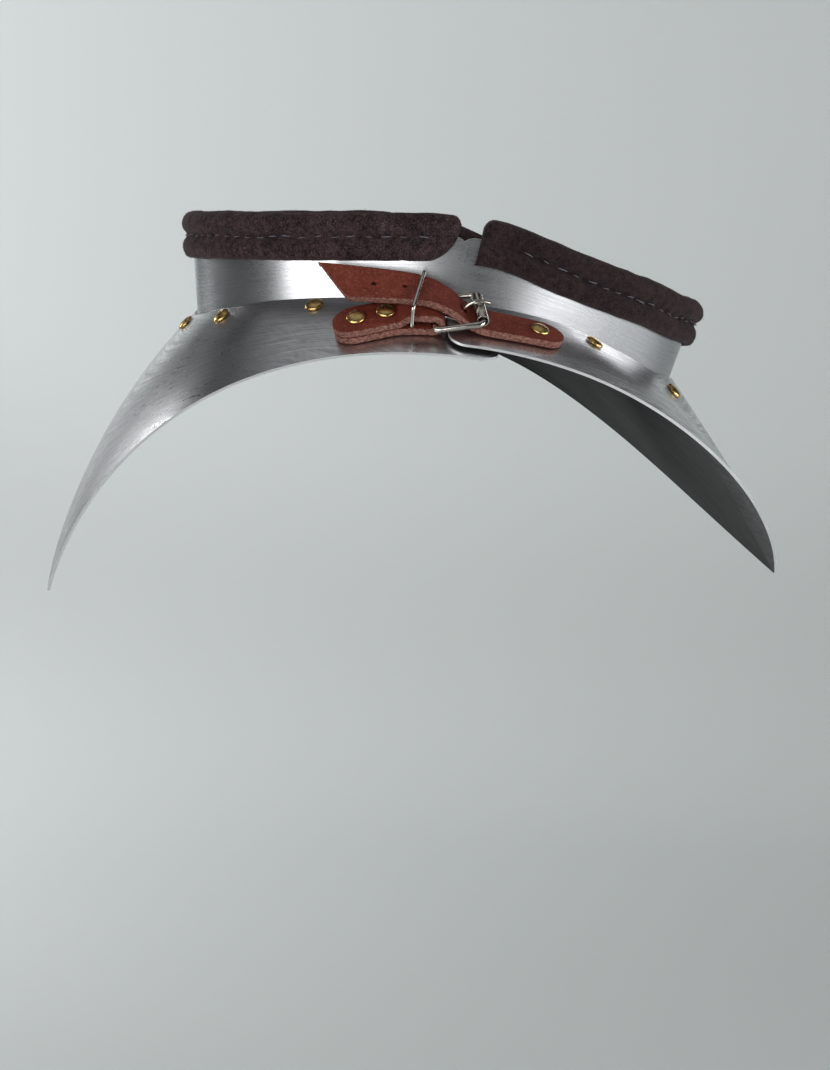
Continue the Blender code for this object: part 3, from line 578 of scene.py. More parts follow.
@dataclass(frozen=True)
class NeckForm:
    """The curved form that every piece follows: collar foot, rim and the plates' outer edge."""

    half_width: float = 80 * MM
    reach_back: float = 102 * MM
    reach_front: float = 99 * MM
    foot_lift: float = 9 * MM
    foot_drop: float = 42.5 * MM
    rim_height: float = 34 * MM
    rim_drop: float = 39.3 * MM
    rim_forward: float = 10.6 * MM
    rim_flare: float = 1 * MM
    side_half_width: float = 108 * MM
    side_level: float = -14.3 * MM
    side_taper: float = -0.06
    side_slope: float = 0.16
    side_reach_back: float = 118 * MM
    side_reach_front: float = 73 * MM
    back_tip: tuple[float, float, float] = (0, 166 * MM, -115.5 * MM)
    back_tip_reach: tuple[float, float, float] = (30 * MM, -8.5 * MM, 40 * MM)
    front_tip: tuple[float, float, float] = (0, -147.5 * MM, -116.5 * MM)
    front_tip_reach: tuple[float, float, float] = (126 * MM, 36.5 * MM, 47.5 * MM)
    back_ease: float = 0.5
    front_ease: float = -0.5
    fullness: float = 0.49
    sections: tuple[tuple[float, ...], ...] = (
        (0, 0.00, 0.00, 0.00, -0.17, 45),
        (25, 0.42, 0.00, 0.00, -0.10, 42),
        (45, 0.88, 0.00, 0.00, 0.00, 36),
        (60, 1.00, 0.00, 0.00, 0.10, 31),
        (75, 1.00, 0.04, 0.00, 0.25, 28),
        (90, 1.00, 0.15, 0.06, 0.50, 27),
        (110, 1.00, 0.33, 0.40, 0.80, 30),
        (130, 1.00, 0.64, 0.675, 0.90, 38),
        (150, 1.00, 0.90, 0.885, 0.97, 50),
        (180, 1.00, 1.00, 1.00, 1.00, 58),
    )

    @lru_cache(maxsize=None)
    def curve(self, column: int) -> tuple[list[float], list[float], list[float]]:
        """Turns, values and level-ended slopes of one column of the sections.

        Args:
            column: 1 lift, 2 drop, 3 rim drop, 4 forward, 5 the plate's slope at the collar.

        Returns:
            The three lists.
        """
        xs = [math.radians(row[0]) for row in self.sections]
        ys = [row[column] for row in self.sections]
        steps = [xs[i + 1] - xs[i] for i in range(len(xs) - 1)]
        rises = [(ys[i + 1] - ys[i]) / steps[i] for i in range(len(steps))]
        slopes = [0.0] * len(xs)
        for i in range(1, len(steps)):
            if rises[i - 1] * rises[i] > 0:
                near = 2 * steps[i] + steps[i - 1]
                far = steps[i] + 2 * steps[i - 1]
                slopes[i] = (near + far) / (near / rises[i - 1] + far / rises[i])
        return xs, ys, slopes

    def share(self, column: int, turn: float) -> float:
        """A column of the sections at any turn.

        Args:
            column: as in curve.
            turn: angle around the neck.

        Returns:
            The column's value.
        """
        xs, ys, slopes = self.curve(column)
        turn = min(abs(turn), math.pi)
        i = 0
        while i < len(xs) - 2 and turn > xs[i + 1]:
            i += 1
        step = xs[i + 1] - xs[i]
        t = (turn - xs[i]) / step
        start = ys[i] * (1 + 2 * t) * (1 - t) ** 2 + slopes[i] * step * t * (1 - t) ** 2
        return start + ys[i + 1] * t * t * (3 - 2 * t) + slopes[i + 1] * step * t * t * (t - 1)

    @lru_cache(maxsize=None)
    def foot(self, turn: float) -> Vector:
        """Point of the collar's foot.

        Args:
            turn: angle around the neck.

        Returns:
            The point.
        """
        reach = self.reach_back if math.cos(turn) > 0 else self.reach_front
        level = self.foot_lift * self.share(1, turn) - self.foot_drop * self.share(2, turn)
        return Vector((self.half_width * math.sin(turn), reach * math.cos(turn), level))

    @lru_cache(maxsize=None)
    def rim(self, turn: float) -> Vector:
        """Point of the collar's steel rim.

        Args:
            turn: angle around the neck.

        Returns:
            The point.
        """
        base = self.foot(turn)
        forward = self.rim_forward * self.share(4, turn)
        level = self.rim_height - self.rim_drop * self.share(3, turn)
        return Vector((base.x + self.rim_flare * math.sin(turn), base.y - forward, level))

    def rise(self, turn: float) -> Vector:
        """Unit direction up the collar's band."""
        return (self.rim(turn) - self.foot(turn)).normalized()

    @lru_cache(maxsize=None)
    def outward(self, turn: float) -> Vector:
        """Unit normal of the band's outer face.

        Args:
            turn: angle around the neck.

        Returns:
            The normal.
        """
        step = 0.002
        along = self.foot(turn + step) - self.foot(turn - step)
        normal = self.rise(turn).cross(along).normalized()
        return normal if normal.dot(self.foot(turn)) > 0 else -normal

    @lru_cache(maxsize=None)
    def edge(self, turn: float) -> Vector:
        """Point of the plates' outer edge.

        Args:
            turn: angle around the neck.

        Returns:
            The point.
        """
        side = Vector((self.side_half_width, 0, self.side_level))
        heading = Vector((self.side_taper, 1, self.side_slope))
        way = 1 - abs(turn) / (math.pi / 2)
        if way >= 0:
            tip, reach = Vector(self.back_tip), Vector(self.back_tip_reach)
            handle, ease = side + heading * self.side_reach_back, self.back_ease
        else:
            tip, reach = Vector(self.front_tip), Vector(self.front_tip_reach)
            handle, ease = side - heading * self.side_reach_front, self.front_ease
        way = abs(way) * (1 - ease) + ease * way * way
        stay = 1 - way
        point = side * stay ** 3 + handle * (3 * way * stay ** 2)
        point += (tip + reach) * (3 * way ** 2 * stay) + tip * way ** 3
        return Vector((math.copysign(1, turn) * point.x, point.y, point.z))

    def span(self, turn: float) -> float:
        """Straight length from the foot to the plates' edge."""
        return (self.edge(turn) - self.foot(turn)).length

    @lru_cache(maxsize=None)
    def control(self, turn: float) -> Vector:
        """Middle control point of the plate's curve from the foot to the edge.

        Args:
            turn: angle around the neck.

        Returns:
            The point.
        """
        base = self.foot(turn)
        line = self.edge(turn) - base
        flat = Vector((line.x, line.y, 0)).normalized()
        slope = math.radians(self.share(5, turn))
        heading = flat * math.cos(slope) - Vector((0, 0, math.sin(slope)))
        return base + heading * self.fullness * line.length

    def plate_point(self, turn: float, v: float) -> Vector:
        """Point of the back plate's middle surface, v from 0 at the foot to 1 at the edge."""
        start = self.foot(turn) * (1 - v) ** 2 + self.control(turn) * (2 * v * (1 - v))
        return start + self.edge(turn) * (v * v)

    def plate_normal(self, turn: float, v: float) -> Vector:
        """Upward unit normal of plate_point.

        Args:
            turn: angle around the neck.
            v: place from 0 at the foot to 1 at the edge.

        Returns:
            The normal.
        """
        step = 0.002
        along = self.plate_point(turn + step, v) - self.plate_point(turn - step, v)
        down = self.plate_point(turn, v + step) - self.plate_point(turn, v - step)
        normal = down.cross(along).normalized()
        return normal if normal.z > 0 else -normal

    def over(self, turn: float, across: float, height: float) -> Vector:
        """Point at a distance from the foot and a height over the back plate's middle surface.

        Args:
            turn: angle around the neck.
            across: distance from the foot, in metres.
            height: height over the surface, in metres.

        Returns:
            The point.
        """
        v = across / self.span(turn)
        return self.plate_point(turn, v) + self.plate_normal(turn, v) * height

    def uphill(self, turn: float, across: float) -> Vector:
        """Unit direction up the plate towards the collar."""
        ahead = self.over(turn, across - MM, 0) - self.over(turn, across + MM, 0)
        return ahead.normalized()

    def normal_at(self, turn: float, across: float) -> Vector:
        """Upward unit normal at a distance from the foot."""
        return self.plate_normal(turn, across / self.span(turn))


FORM = NeckForm()


@dataclass(frozen=True)
class Layers:
    """How the sheets and the leather lie on each other, as heights over the back plate's middle."""

    sheet: float = 1.2 * MM
    gap: float = 0.3 * MM
    leather: float = 3 * MM
    band_inset: float = 1.5 * MM

    @property
    def layer(self) -> float:
        """One sheet and its gap."""
        return self.sheet + self.gap

    def plate_level(self, half: Half) -> int:
        """How many layers a half's plate lies above the back plate."""
        return 0 if half is Half.BACK else 2

    def inset(self, half: Half) -> float:
        """How far a half's band is set in."""
        return 0.0 if half is Half.BACK else self.band_inset

    @property
    def tail_bed(self) -> float:
        """Middle of a strap that lies on the front plate."""
        return 2 * self.layer + self.sheet / 2 + self.gap + self.leather / 2

    @property
    def lower_fold(self) -> float:
        """Middle of the folded strap's lower layer."""
        return self.sheet / 2 + self.gap + self.leather / 2


STACK = Layers()


class MeshMaker:
    """Builds closed meshes from grids and rings, with a map of metres along and across."""

    @staticmethod
    def finish(name: str, builder: bmesh.types.BMesh, finish: object, slot: str) -> bpy.types.Object:
        """Turn a bmesh into a piece with outward faces.

        Args:
            name: the piece's name.
            builder: its geometry.
            finish: its finish.
            slot: the record's material slot.

        Returns:
            The piece.
        """
        bmesh.ops.recalc_face_normals(builder, faces=builder.faces)
        if builder.calc_volume(signed=True) < 0:
            bmesh.ops.reverse_faces(builder, faces=builder.faces)
        data = bpy.data.meshes.new(name)
        builder.to_mesh(data)
        builder.free()
        data.shade_smooth()
        data.materials.append(finish_named(finish))
        piece = placed(name, data)
        piece["slot"] = slot
        return piece

    @staticmethod
    def lengths(points: list[Vector]) -> list[float]:
        """Distance along a line of points up to each one.

        Args:
            points: the line.

        Returns:
            The distances, from 0.
        """
        total = [0.0]
        for one, two in zip(points, points[1:]):
            total.append(total[-1] + (two - one).length)
        return total

    @classmethod
    def sheet(cls, name: str, rows: list[list[Vector]], thickness: float, finish: object,
              slot: str) -> bpy.types.Object:
        """Closed sheet of even thickness around a grid of middle points.

        Args:
            name: the piece's name.
            rows: the grid.
            thickness: in metres.
            finish: its finish.
            slot: the record's material slot.

        Returns:
            The piece.
        """
        builder = bmesh.new()
        lay = builder.loops.layers.uv.new("Lay")
        count, width = len(rows), len(rows[0])
        inner, rim = (builder.loops.layers.float.new(mark) for mark in ("Inner", "Rim"))
        across = cls.lengths([row[width // 2] for row in rows])
        where, inner_painted_shade = {}, {}
        sides = []
        for sign in (1, -1):
            grid = []
            for i, row in enumerate(rows):
                line = []
                along = cls.lengths(row)
                for j, point in enumerate(row):
                    down = rows[min(i + 1, count - 1)][j] - rows[max(i - 1, 0)][j]
                    ahead = row[min(j + 1, width - 1)] - row[max(j - 1, 0)]
                    normal = down.cross(ahead).normalized()
                    vert = builder.verts.new(point + normal * sign * thickness / 2)
                    # Faces that look inwards get the Inner mark, which the steel paints near black as painted
                    # shade.
                    away = Vector((point.x, point.y, 0)).normalized() + Vector((0, 0, 1))
                    inner_painted_shade[vert] = 0.0 if (normal * sign).dot(away) > 0 else 1.0
                    where[vert] = (along[j] - along[width // 2], across[i])
                    line.append(vert)
                grid.append(line)
            sides.append(grid)
        for grid in sides:
            for i in range(count - 1):
                for j in range(width - 1):
                    builder.faces.new((grid[i][j], grid[i][j + 1], grid[i + 1][j + 1], grid[i + 1][j]))
        border = [(0, j) for j in range(width - 1)] + [(i, width - 1) for i in range(count - 1)]
        border += [(count - 1, j) for j in range(width - 1, 0, -1)]
        border += [(i, 0) for i in range(count - 1, 0, -1)]
        for face in builder.faces:
            for loop in face.loops:
                loop[inner] = inner_painted_shade[loop.vert]
        top, bottom = sides
        for (i, j), (k, m) in zip(border, border[1:] + border[:1]):
            edge = builder.faces.new((top[i][j], top[k][m], bottom[k][m], bottom[i][j]))
            for loop in edge.loops:
                loop[rim] = 1.0
        for face in builder.faces:
            for loop in face.loops:
                loop[lay].uv = where[loop.vert]
        piece = cls.finish(name, builder, finish, slot)
        cls.ease_edges(piece, thickness * 0.28)
        return piece

    @staticmethod
    def ease_edges(piece: bpy.types.Object, width: float, angle: float = 50) -> None:
        """Round a piece's sharp edges a little.

        Args:
            piece: the piece.
            width: in metres.
            angle: edges sharper than this many degrees are rounded.
        """
        bevel = piece.modifiers.new("eased edges", "BEVEL")
        bevel.width = width
        bevel.segments = 2
        bevel.limit_method = "ANGLE"
        bevel.angle_limit = math.radians(angle)
        bevel.harden_normals = True

    @classmethod
    def sweep(cls, name: str, rings: list[list[Vector]], finish: object, slot: str, closed: bool = False,
              raw: list[float] | None = None, hollow: bool = False) -> bpy.types.Object:
        """Closed solid through rings of points.

        Args:
            name: the piece's name.
            rings: sections, each with the same number of points.
            finish: its finish.
            slot: the record's material slot.
            closed: whether the last ring joins the first.
            raw: for each point of a ring, how far it is a raw cut edge.
            hollow: whether a section bends around a slot, so that its ends aren't plain fans.

        Returns:
            The piece.
        """
        builder = bmesh.new()
        lay = builder.loops.layers.uv.new("Lay")
        cut = builder.verts.layers.float.new("Raw")
        loops = [[builder.verts.new(point) for point in ring] for ring in rings]
        count = len(loops[0])
        along = cls.lengths([sum(ring, Vector()) / count for ring in rings] + [rings[0][0]])
        around = cls.lengths(rings[len(rings) // 2] + [rings[len(rings) // 2][0]])
        if raw:
            for loop in loops:
                for vert, share in zip(loop, raw):
                    vert[cut] = share
        turns = len(loops) if closed else len(loops) - 1
        for i in range(turns):
            one, two = loops[i], loops[(i + 1) % len(loops)]
            for j in range(count):
                k = (j + 1) % count
                face = builder.faces.new((one[j], one[k], two[k], two[j]))
                places = ((i, j), (i, j + 1), (i + 1, j + 1), (i + 1, j))
                for loop, (a, b) in zip(face.loops, places):
                    loop[lay].uv = (along[min(a, len(along) - 1)], around[b])
        if not closed:
            for ring, place in ((loops[0], 0), (loops[-1], -1)):
                if hollow:
                    bmesh.ops.triangulate(builder, faces=[builder.faces.new(ring)])
                    continue
                middle = builder.verts.new(sum((vert.co for vert in ring), Vector()) / count)
                middle[cut] = 1 if raw else 0
                for j in range(count):
                    face = builder.faces.new((ring[j], ring[(j + 1) % count], middle))
                    for loop in face.loops:
                        loop[lay].uv = (along[place], 0)
        return cls.finish(name, builder, finish, slot)

    @staticmethod
    def tube_rings(points: list[Vector], radii: list[float], closed: bool = False,
                   sides: int = 14) -> list[list[Vector]]:
        """Round sections along a line of points, with no twist.

        Args:
            points: the line.
            radii: radius at each point.
            closed: whether the line is a loop.
            sides: points in a section.

        Returns:
            The rings.
        """
        last = len(points) - 1
        guide = None
        rings = []
        for i, point in enumerate(points):
            before = points[i - 1] if (i or closed) else point
            after = points[(i + 1) % len(points)] if (i < last or closed) else point
            tangent = (after - before).normalized()
            guide = guide or tangent.orthogonal().normalized()
            guide = (guide - tangent * guide.dot(tangent)).normalized()
            other = tangent.cross(guide)
            spokes = [guide * math.cos(a) + other * math.sin(a) for a in circle(sides)]
            rings.append([point + spoke * radii[i] for spoke in spokes])
        return rings

    @staticmethod
    def rounded_loop(corners: list[Vector], radius: float, steps: int = 7) -> list[Vector]:
        """Closed line through corners, each rounded.

        Args:
            corners: the corners.
            radius: reach of each rounding.
            steps: points in each rounding.

        Returns:
            The line.
        """
        points = []
        for i, corner in enumerate(corners):
            before = (corners[i - 1] - corner).normalized() * radius
            after = (corners[(i + 1) % len(corners)] - corner).normalized() * radius
            for k in range(steps):
                t = k / (steps - 1)
                points.append(corner + before * (1 - t) ** 2 + after * t * t)
        return points


def freeze(piece: bpy.types.Object) -> None:
    """Apply a piece's modifiers to its mesh.

    Args:
        piece: the piece.
    """
    bpy.context.view_layer.update()
    graph = bpy.context.evaluated_depsgraph_get()
    data = bpy.data.meshes.new_from_object(piece.evaluated_get(graph))
    piece.modifiers.clear()
    piece.data = data


def cut_away(piece: bpy.types.Object, cutters: list[bpy.types.Object]) -> None:
    """Cut holes in a piece and remove the cutters.

    Args:
        piece: what is cut.
        cutters: closed shapes.
    """
    for cutter in cutters:
        cut = piece.modifiers.new("cut", "BOOLEAN")
        cut.object = cutter
        cut.operation = "DIFFERENCE"
        cut.solver = "EXACT"
    freeze(piece)
    for cutter in cutters:
        bpy.data.objects.remove(cutter)


def stand_for(piece: bpy.types.Object, *nodes: str) -> None:
    """Let a piece ride on the gorget in place of CAD nodes.

    Args:
        piece: the finished piece.
        nodes: the nodes that it stands for.
    """
    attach(piece, "root")
    if nodes:
        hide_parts(*nodes)
    log.info("%s: %d faces", piece.name, len(piece.data.polygons))


@dataclass
class HalfRange:
    """Where a half's bands, plates and pads end, as turns in degrees."""

    half: Half
    band: float
    plate: float
    pad: float

    def end(self, turn: float) -> float:
        """Angle from the middle of the half to a turn in degrees."""
        angle = math.radians(turn)
        return angle if self.half is Half.BACK else math.pi - angle

    def place(self, angle: float) -> float:
        """Turn of a signed angle from the middle of the half.

        Args:
            angle: the signed angle.

        Returns:
            The turn.
        """
        if self.half is Half.BACK:
            return angle
        return math.copysign(math.pi, angle) - angle if angle else math.pi

    def columns(self, end: float, nominal: float, count: int, fine: int = 10) -> list[float]:
        """Angles from end to end: even ones in the middle and fine ones that follow this row's end.

        Args:
            end: where this row ends.
            nominal: where the piece ends.
            count: columns in the even part.
            fine: columns at each side of it.

        Returns:
            Signed angles.
        """
        inner = nominal - math.radians(7)
        middle = [inner * (2 * k / count - 1) for k in range(count + 1)]
        outer = [inner + (end - inner) * (k + 1) / fine for k in range(fine)]
        return [-angle for angle in reversed(outer)] + middle + outer


RANGES = {
    Half.BACK: HalfRange(Half.BACK, band=84.8, plate=91.7, pad=84.4),
    Half.FRONT: HalfRange(Half.FRONT, band=84.8, plate=83.0, pad=89.3),
}


def corner_cut(distance: float, radius: float) -> float:
    """How far a rounded corner draws an end back, at a distance below its edge.

    Args:
        distance: distance from the edge.
        radius: the corner's radius.

    Returns:
        How far the end is drawn back.
    """
    if distance >= radius:
        return 0
    return radius - math.sqrt(radius ** 2 - (radius - distance) ** 2)


@dataclass
class SteelCollar:
    """Upright band of one half, with the flange under its plate."""

    half: Half
    flange: float = 12 * MM
    bend: float = 1.3 * MM
    corner: float = 5 * MM
    end_gap: float = 0.5 * MM
    underlap: float = 3 * MM
    lean: float = 3 * MM
    columns: int = 150

    def section(self, turn: float) -> tuple[list[Vector], list[float], float]:
        """One section of the band.

        Args:
            turn: angle around the neck.

        Returns:
            Its points from the flange's edge to the rim, how high each is up the band, and the band's height.
        """
        lift = (STACK.plate_level(self.half) - 1) * STACK.layer
        up = FORM.rise(turn)
        height = (FORM.rim(turn) - FORM.foot(turn)).length
        root = FORM.foot(turn) - FORM.outward(turn) * (STACK.sheet / 2 + STACK.inset(self.half))
        normal = FORM.plate_normal(turn, 0)
        rise = (FORM.foot(turn) + normal * lift - root).dot(normal) / up.dot(normal)
        corner = root + up * rise
        out_point = FORM.over(turn, 3 * self.bend, lift)
        out = (out_point - corner).normalized()
        points = [FORM.over(turn, self.flange * s, lift) for s in (1, 0.8, 0.6, 0.45)]
        points.append(out_point)
        for k in range(7):
            t = k / 6
            points.append(corner + out * self.bend * 1.4 * (1 - t) ** 2 + up * self.bend * 1.4 * t * t)
        low = 2.4 * self.bend
        top = height - self.corner
        heights = [low + (top - low) * k / 9 for k in range(10)]
        heights += [height - self.corner * (1 - math.sin(math.pi / 2 * k / 8)) for k in range(1, 9)]
        return points + [root + up * h for h in heights], [0.0] * len(points) + heights, height

    def end(self, index: int) -> float:
        """Angle from the half's middle to the band's end, in one row of its section.

        Args:
            index: the row's place in the section.

        Returns:
            The angle.
        """
        last = math.radians(RANGES[self.half].band)
        _, heights, height = self.section(last)
        up = heights[index]
        lean = self.lean * smooth(up, 0, height)
        cut = corner_cut(height - up, self.corner)
        if self.half is Half.BACK:
            return last + (lean - cut) / FORM.reach_back
        under = self.underlap * smooth(up, 3 * MM, 8 * MM)
        start = last - (-lean - self.end_gap + under - cut) / FORM.reach_back
        return math.pi - start

    def make(self) -> None:
        """Build the band and let it stand for its node."""
        span = RANGES[self.half]
        nominal = span.end(span.band)
        count = len(self.section(0.5)[1])
        sections = {}
        rows = []
        for index in range(count):
            row = []
            for angle in span.columns(self.end(index), nominal, self.columns):
                turn = span.place(angle)
                if turn not in sections:
                    sections[turn] = self.section(turn)[0]
                row.append(sections[turn][index])
            rows.append(row)
        piece = MeshMaker.sheet(f"{self.half.value}_band", rows, STACK.sheet, STEEL, "steel")
        stand_for(piece, f"{self.half.value}_collar")


@dataclass
class ShoulderPlate:
    """Curved plate of one half, from the collar to its pointed edge."""

    half: Half
    corner: float = 6 * MM
    tuck: float = 3.5 * MM
    tuck_from: float = 102
    tuck_to: float = 128
    edge_clearance: float = 0.5 * MM
    columns: int = 190
    rows: int = 40
    corner_rows: int = 8

    def start(self, turn: float) -> float:
        """Distance from the foot where the plate begins, just clear of the band beside it.

        Args:
            turn: angle around the neck.

        Returns:
            The distance.
        """
        inset = STACK.inset(self.half)
        if self.half is Half.FRONT:
            band_end = RANGES[self.half].band
            inset *= smooth(abs(turn), math.radians(band_end + 2), math.radians(band_end + 14))
        level = STACK.plate_level(self.half) * STACK.layer
        facing = FORM.outward(turn)
        normal = FORM.plate_normal(turn, 0)
        heights = (level - STACK.sheet / 2, level + STACK.sheet / 2)
        nearest = min((normal * height).dot(facing) for height in heights) + inset
        out = -FORM.uphill(turn, 0)
        return (self.edge_clearance - nearest) / out.dot(facing)

    def reaches(self, turn: float) -> list[float]:
        """Distances from the foot of one column of the plate's points.

        Args:
            turn: angle around the neck.

        Returns:
            The distances, from the collar out.
        """
        last = FORM.span(turn)
        if self.half is Half.FRONT:
            eased = smooth(abs(turn), math.radians(self.tuck_from), math.radians(self.tuck_to))
            last -= self.tuck * (1 - eased)
        first = self.start(turn)
        corner = last - self.corner
        out = [first + (corner - first) * k / self.rows for k in range(self.rows + 1)]
        steps = range(1, self.corner_rows + 1)
        return out + [corner + self.corner * math.sin(math.pi / 2 * k / self.corner_rows) for k in steps]

    def make(self) -> None:
        """Build the plate and let it stand for its node."""
        span = RANGES[self.half]
        nominal = span.end(span.plate)
        level = STACK.plate_level(self.half) * STACK.layer
        rows = []
        for index in range(self.rows + 1 + self.corner_rows):
            left = 0.0
            if index > self.rows:
                left = self.corner * (1 - math.sin(math.pi / 2 * (index - self.rows) / self.corner_rows))
            cut = corner_cut(left, self.corner) if index > self.rows else 0
            row = []
            for angle in span.columns(nominal - cut / FORM.side_half_width, nominal, self.columns):
                turn = span.place(angle)
                row.append(FORM.over(turn, self.reaches(turn)[index], level))
            rows.append(row)
        piece = MeshMaker.sheet(f"{self.half.value}_shoulder_plate", rows, STACK.sheet, PLATE_STEEL, "steel")
        stand_for(piece, f"{self.half.value}_plate")


@dataclass
class NeckPad:
    """Felt roll over the steel rim of one half, sewn through with a running stitch."""

    half: Half
    rise: float = 8.5 * MM
    fall: float = 10.5 * MM
    out: float = 4.8 * MM
    inner: float = 4.8 * MM
    groove: float = 2.1 * MM
    pitch: float = 6.2 * MM
    end_slant: float = 4.5 * MM
    back_slant: float = 12 * MM
    front_slant: float = -1.5 * MM
    stitch_reach: float = 92 * MM
    end_round: float = 3.4 * MM
    end_share: float = 0.28
    end_reach: float = 16
    gather_at: float = 13 * MM
    gather_reach: float = 8 * MM
    gather_pitch: float = 3.3 * MM
    felt: float = 1.1 * MM
    lumps: float = 0.6 * MM
    sway: float = 0.8 * MM
    shoulder: float = 1.6 * MM
    slot_gap: float = 0.35 * MM
    slot_top: float = 0.4 * MM
    columns: int = 170
    outline: tuple[tuple[float, float], ...] = (
        (0.42, -1.00), (0.85, -0.88), (1.02, -0.50), (0.80, -0.10), (1.0, 0.42), (0.66, 0.86), (0.00, 1.00),
        (-0.62, 0.86), (-1.00, 0.36), (-0.86, -0.10), (-1.00, -0.50), (-0.85, -0.88), (-0.50, -1.00),
    )
    groove_at: float = 3.0
    inner_groove_at: float = 9.0
    groove_width: float = 0.33
    seeds: tuple[float, float] = (3.0, 17.0)

    def section(self) -> list[tuple[float, float, float]]:
        """Fine outline of the pad.

        Returns:
            For each point its way out, its way up and how far it is in the sewn groove.
        """
        points = [Vector((x, y)) for x, y in self.outline]
        fine = []
        steps = 6
        for k in range((len(points) - 1) * steps + 1):
            at = k / steps
            point = through(points, at)
            deep = math.exp(-((at - self.groove_at) / self.groove_width) ** 2)
            deep += 0.8 * math.exp(-((at - self.inner_groove_at) / self.groove_width) ** 2)
            aside = point.x * (self.out if point.x > 0 else self.inner)
            fine.append((aside, point.y * (self.rise if point.y > 0 else self.fall), deep))
        slot = STACK.sheet / 2 + self.slot_gap
        heights = (-self.fall * 0.96, -self.fall * 0.5, self.slot_top)
        return fine + [(-slot, up, 0) for up in heights] + [(slot, up, 0) for up in reversed(heights)]

    def point(self, turn: float, aside: float, up: float) -> Vector:
        """Point beside the steel rim.

        Args:
            turn: angle around the neck.
            aside: distance outwards from the sheet's middle.
            up: distance above the rim.

        Returns:
            The point.
        """
        facing = FORM.outward(turn)
        middle = FORM.rim(turn) - facing * (STACK.sheet / 2 + STACK.inset(self.half))
        return middle + facing * aside + FORM.rise(turn) * up

    def phase(self, angle: float) -> float:
        """Number of stitches from the half's middle to an angle."""
        return angle * self.stitch_reach / self.pitch

    def slant(self, aside: float, up: float) -> float:
        """How far the pad's end is drawn back at a point of its section.

        Args:
            aside: the point's way out from the sheet's middle.
            up: the point's height above the rim.

        Returns:
            The distance.
        """
        start = self.rise * 0.6
        below = min(max((start - up) / (start + self.fall), 0), 1)
        low = 1 - math.sqrt(1 - below ** 2)
        drawn = (self.back_slant if self.half is Half.BACK else self.front_slant) * low
        if self.half is Half.BACK:
            drawn += self.end_slant * smooth(-aside, 0, self.inner) * (1 - low)
        return drawn

    def ring(self, outline: list[tuple[float, float, float]], angle: float, end: float) -> list[Vector]:
        """One section of the pad.

        Args:
            outline: the fine outline.
            angle: signed angle from the half's middle.
            end: angle where the pad ends.

        Returns:
            The section's points.
        """
        seed = self.seeds[self.half is Half.FRONT]
        near = (end - abs(angle)) * FORM.reach_back
        close = max(round_end(near, self.end_round, 0.0), self.end_share)
        length = angle * self.stitch_reach
        between = (1 - math.cos(2 * math.pi * self.phase(angle))) / 2
        pull = (0.55 + 0.45 * between) * close
        gather = math.exp(-((near - self.gather_at) / self.gather_reach) ** 2) * smooth(near, 2 * MM, 6 * MM)
        drift = 2.5 * noise.noise(Vector((length * 90, seed, 0)))
        ripple = math.sin(2 * math.pi * length / self.gather_pitch + drift)
        flap = STACK.sheet / 2 + self.felt
        points = []
        for aside, rise, deep in outline:
            sign = math.copysign(1, aside)
            felt = abs(aside) > 1.2 * MM or rise > 1 * MM
            out_way, up_way = aside, rise
            if felt:
                lump = noise.noise(Vector((length * 42, rise * 120 + seed, aside * 60)))
                fine = noise.noise(Vector((length * 170, rise * 240 + seed, aside * 150)))
                grow = lump * self.lumps + fine * self.lumps / 2 - deep * self.groove * pull
                grow += gather * ripple * self.lumps * math.exp(-((rise - 3 * MM) / (4.5 * MM)) ** 2)
                body = smooth(abs(aside), 0.8 * MM, 2.4 * MM)
                out_way = aside + sign * grow * body
                target = sign * min(abs(out_way), flap)
                out_way = target + (out_way - target) * close
                sway = noise.noise(Vector((length * 34, seed + 40, 0))) * self.sway
                up_way = rise + sway * (1 if rise > 0 else 0.6) + fine * 0.25 * MM
                if up_way > self.shoulder:
                    up_way = self.shoulder + (up_way - self.shoulder) * (0.35 + 0.65 * close)
            ends = smooth(abs(angle), end - math.radians(self.end_reach), end)
            place = abs(angle) - self.slant(aside, rise) / FORM.reach_back * ends
            points.append(self.point(RANGES[self.half].place(math.copysign(place, angle)), out_way, up_way))
        return points

    def make(self) -> None:
        """Build the pad, its nap and its stitches."""
        end = RANGES[self.half].end(RANGES[self.half].pad)
        outline = self.section()
        even, fine = 0.95, 14
        ways = [k / self.columns * even for k in range(self.columns)]
        ways += [even + (1 - even) * math.sin(math.pi / 2 * k / fine) for k in range(fine + 1)]
        angles = [-end * way for way in reversed(ways[1:])] + [end * way for way in ways]
        rings = [self.ring(outline, angle, end) for angle in angles]
        piece = MeshMaker.sweep(f"{self.half.value}_felt_roll", rings, FELT, "felt", hollow=True)
        stand_for(piece, f"{self.half.value}_pad")
        Stitching(self).make()
        FeltNap(self.half, piece).make()


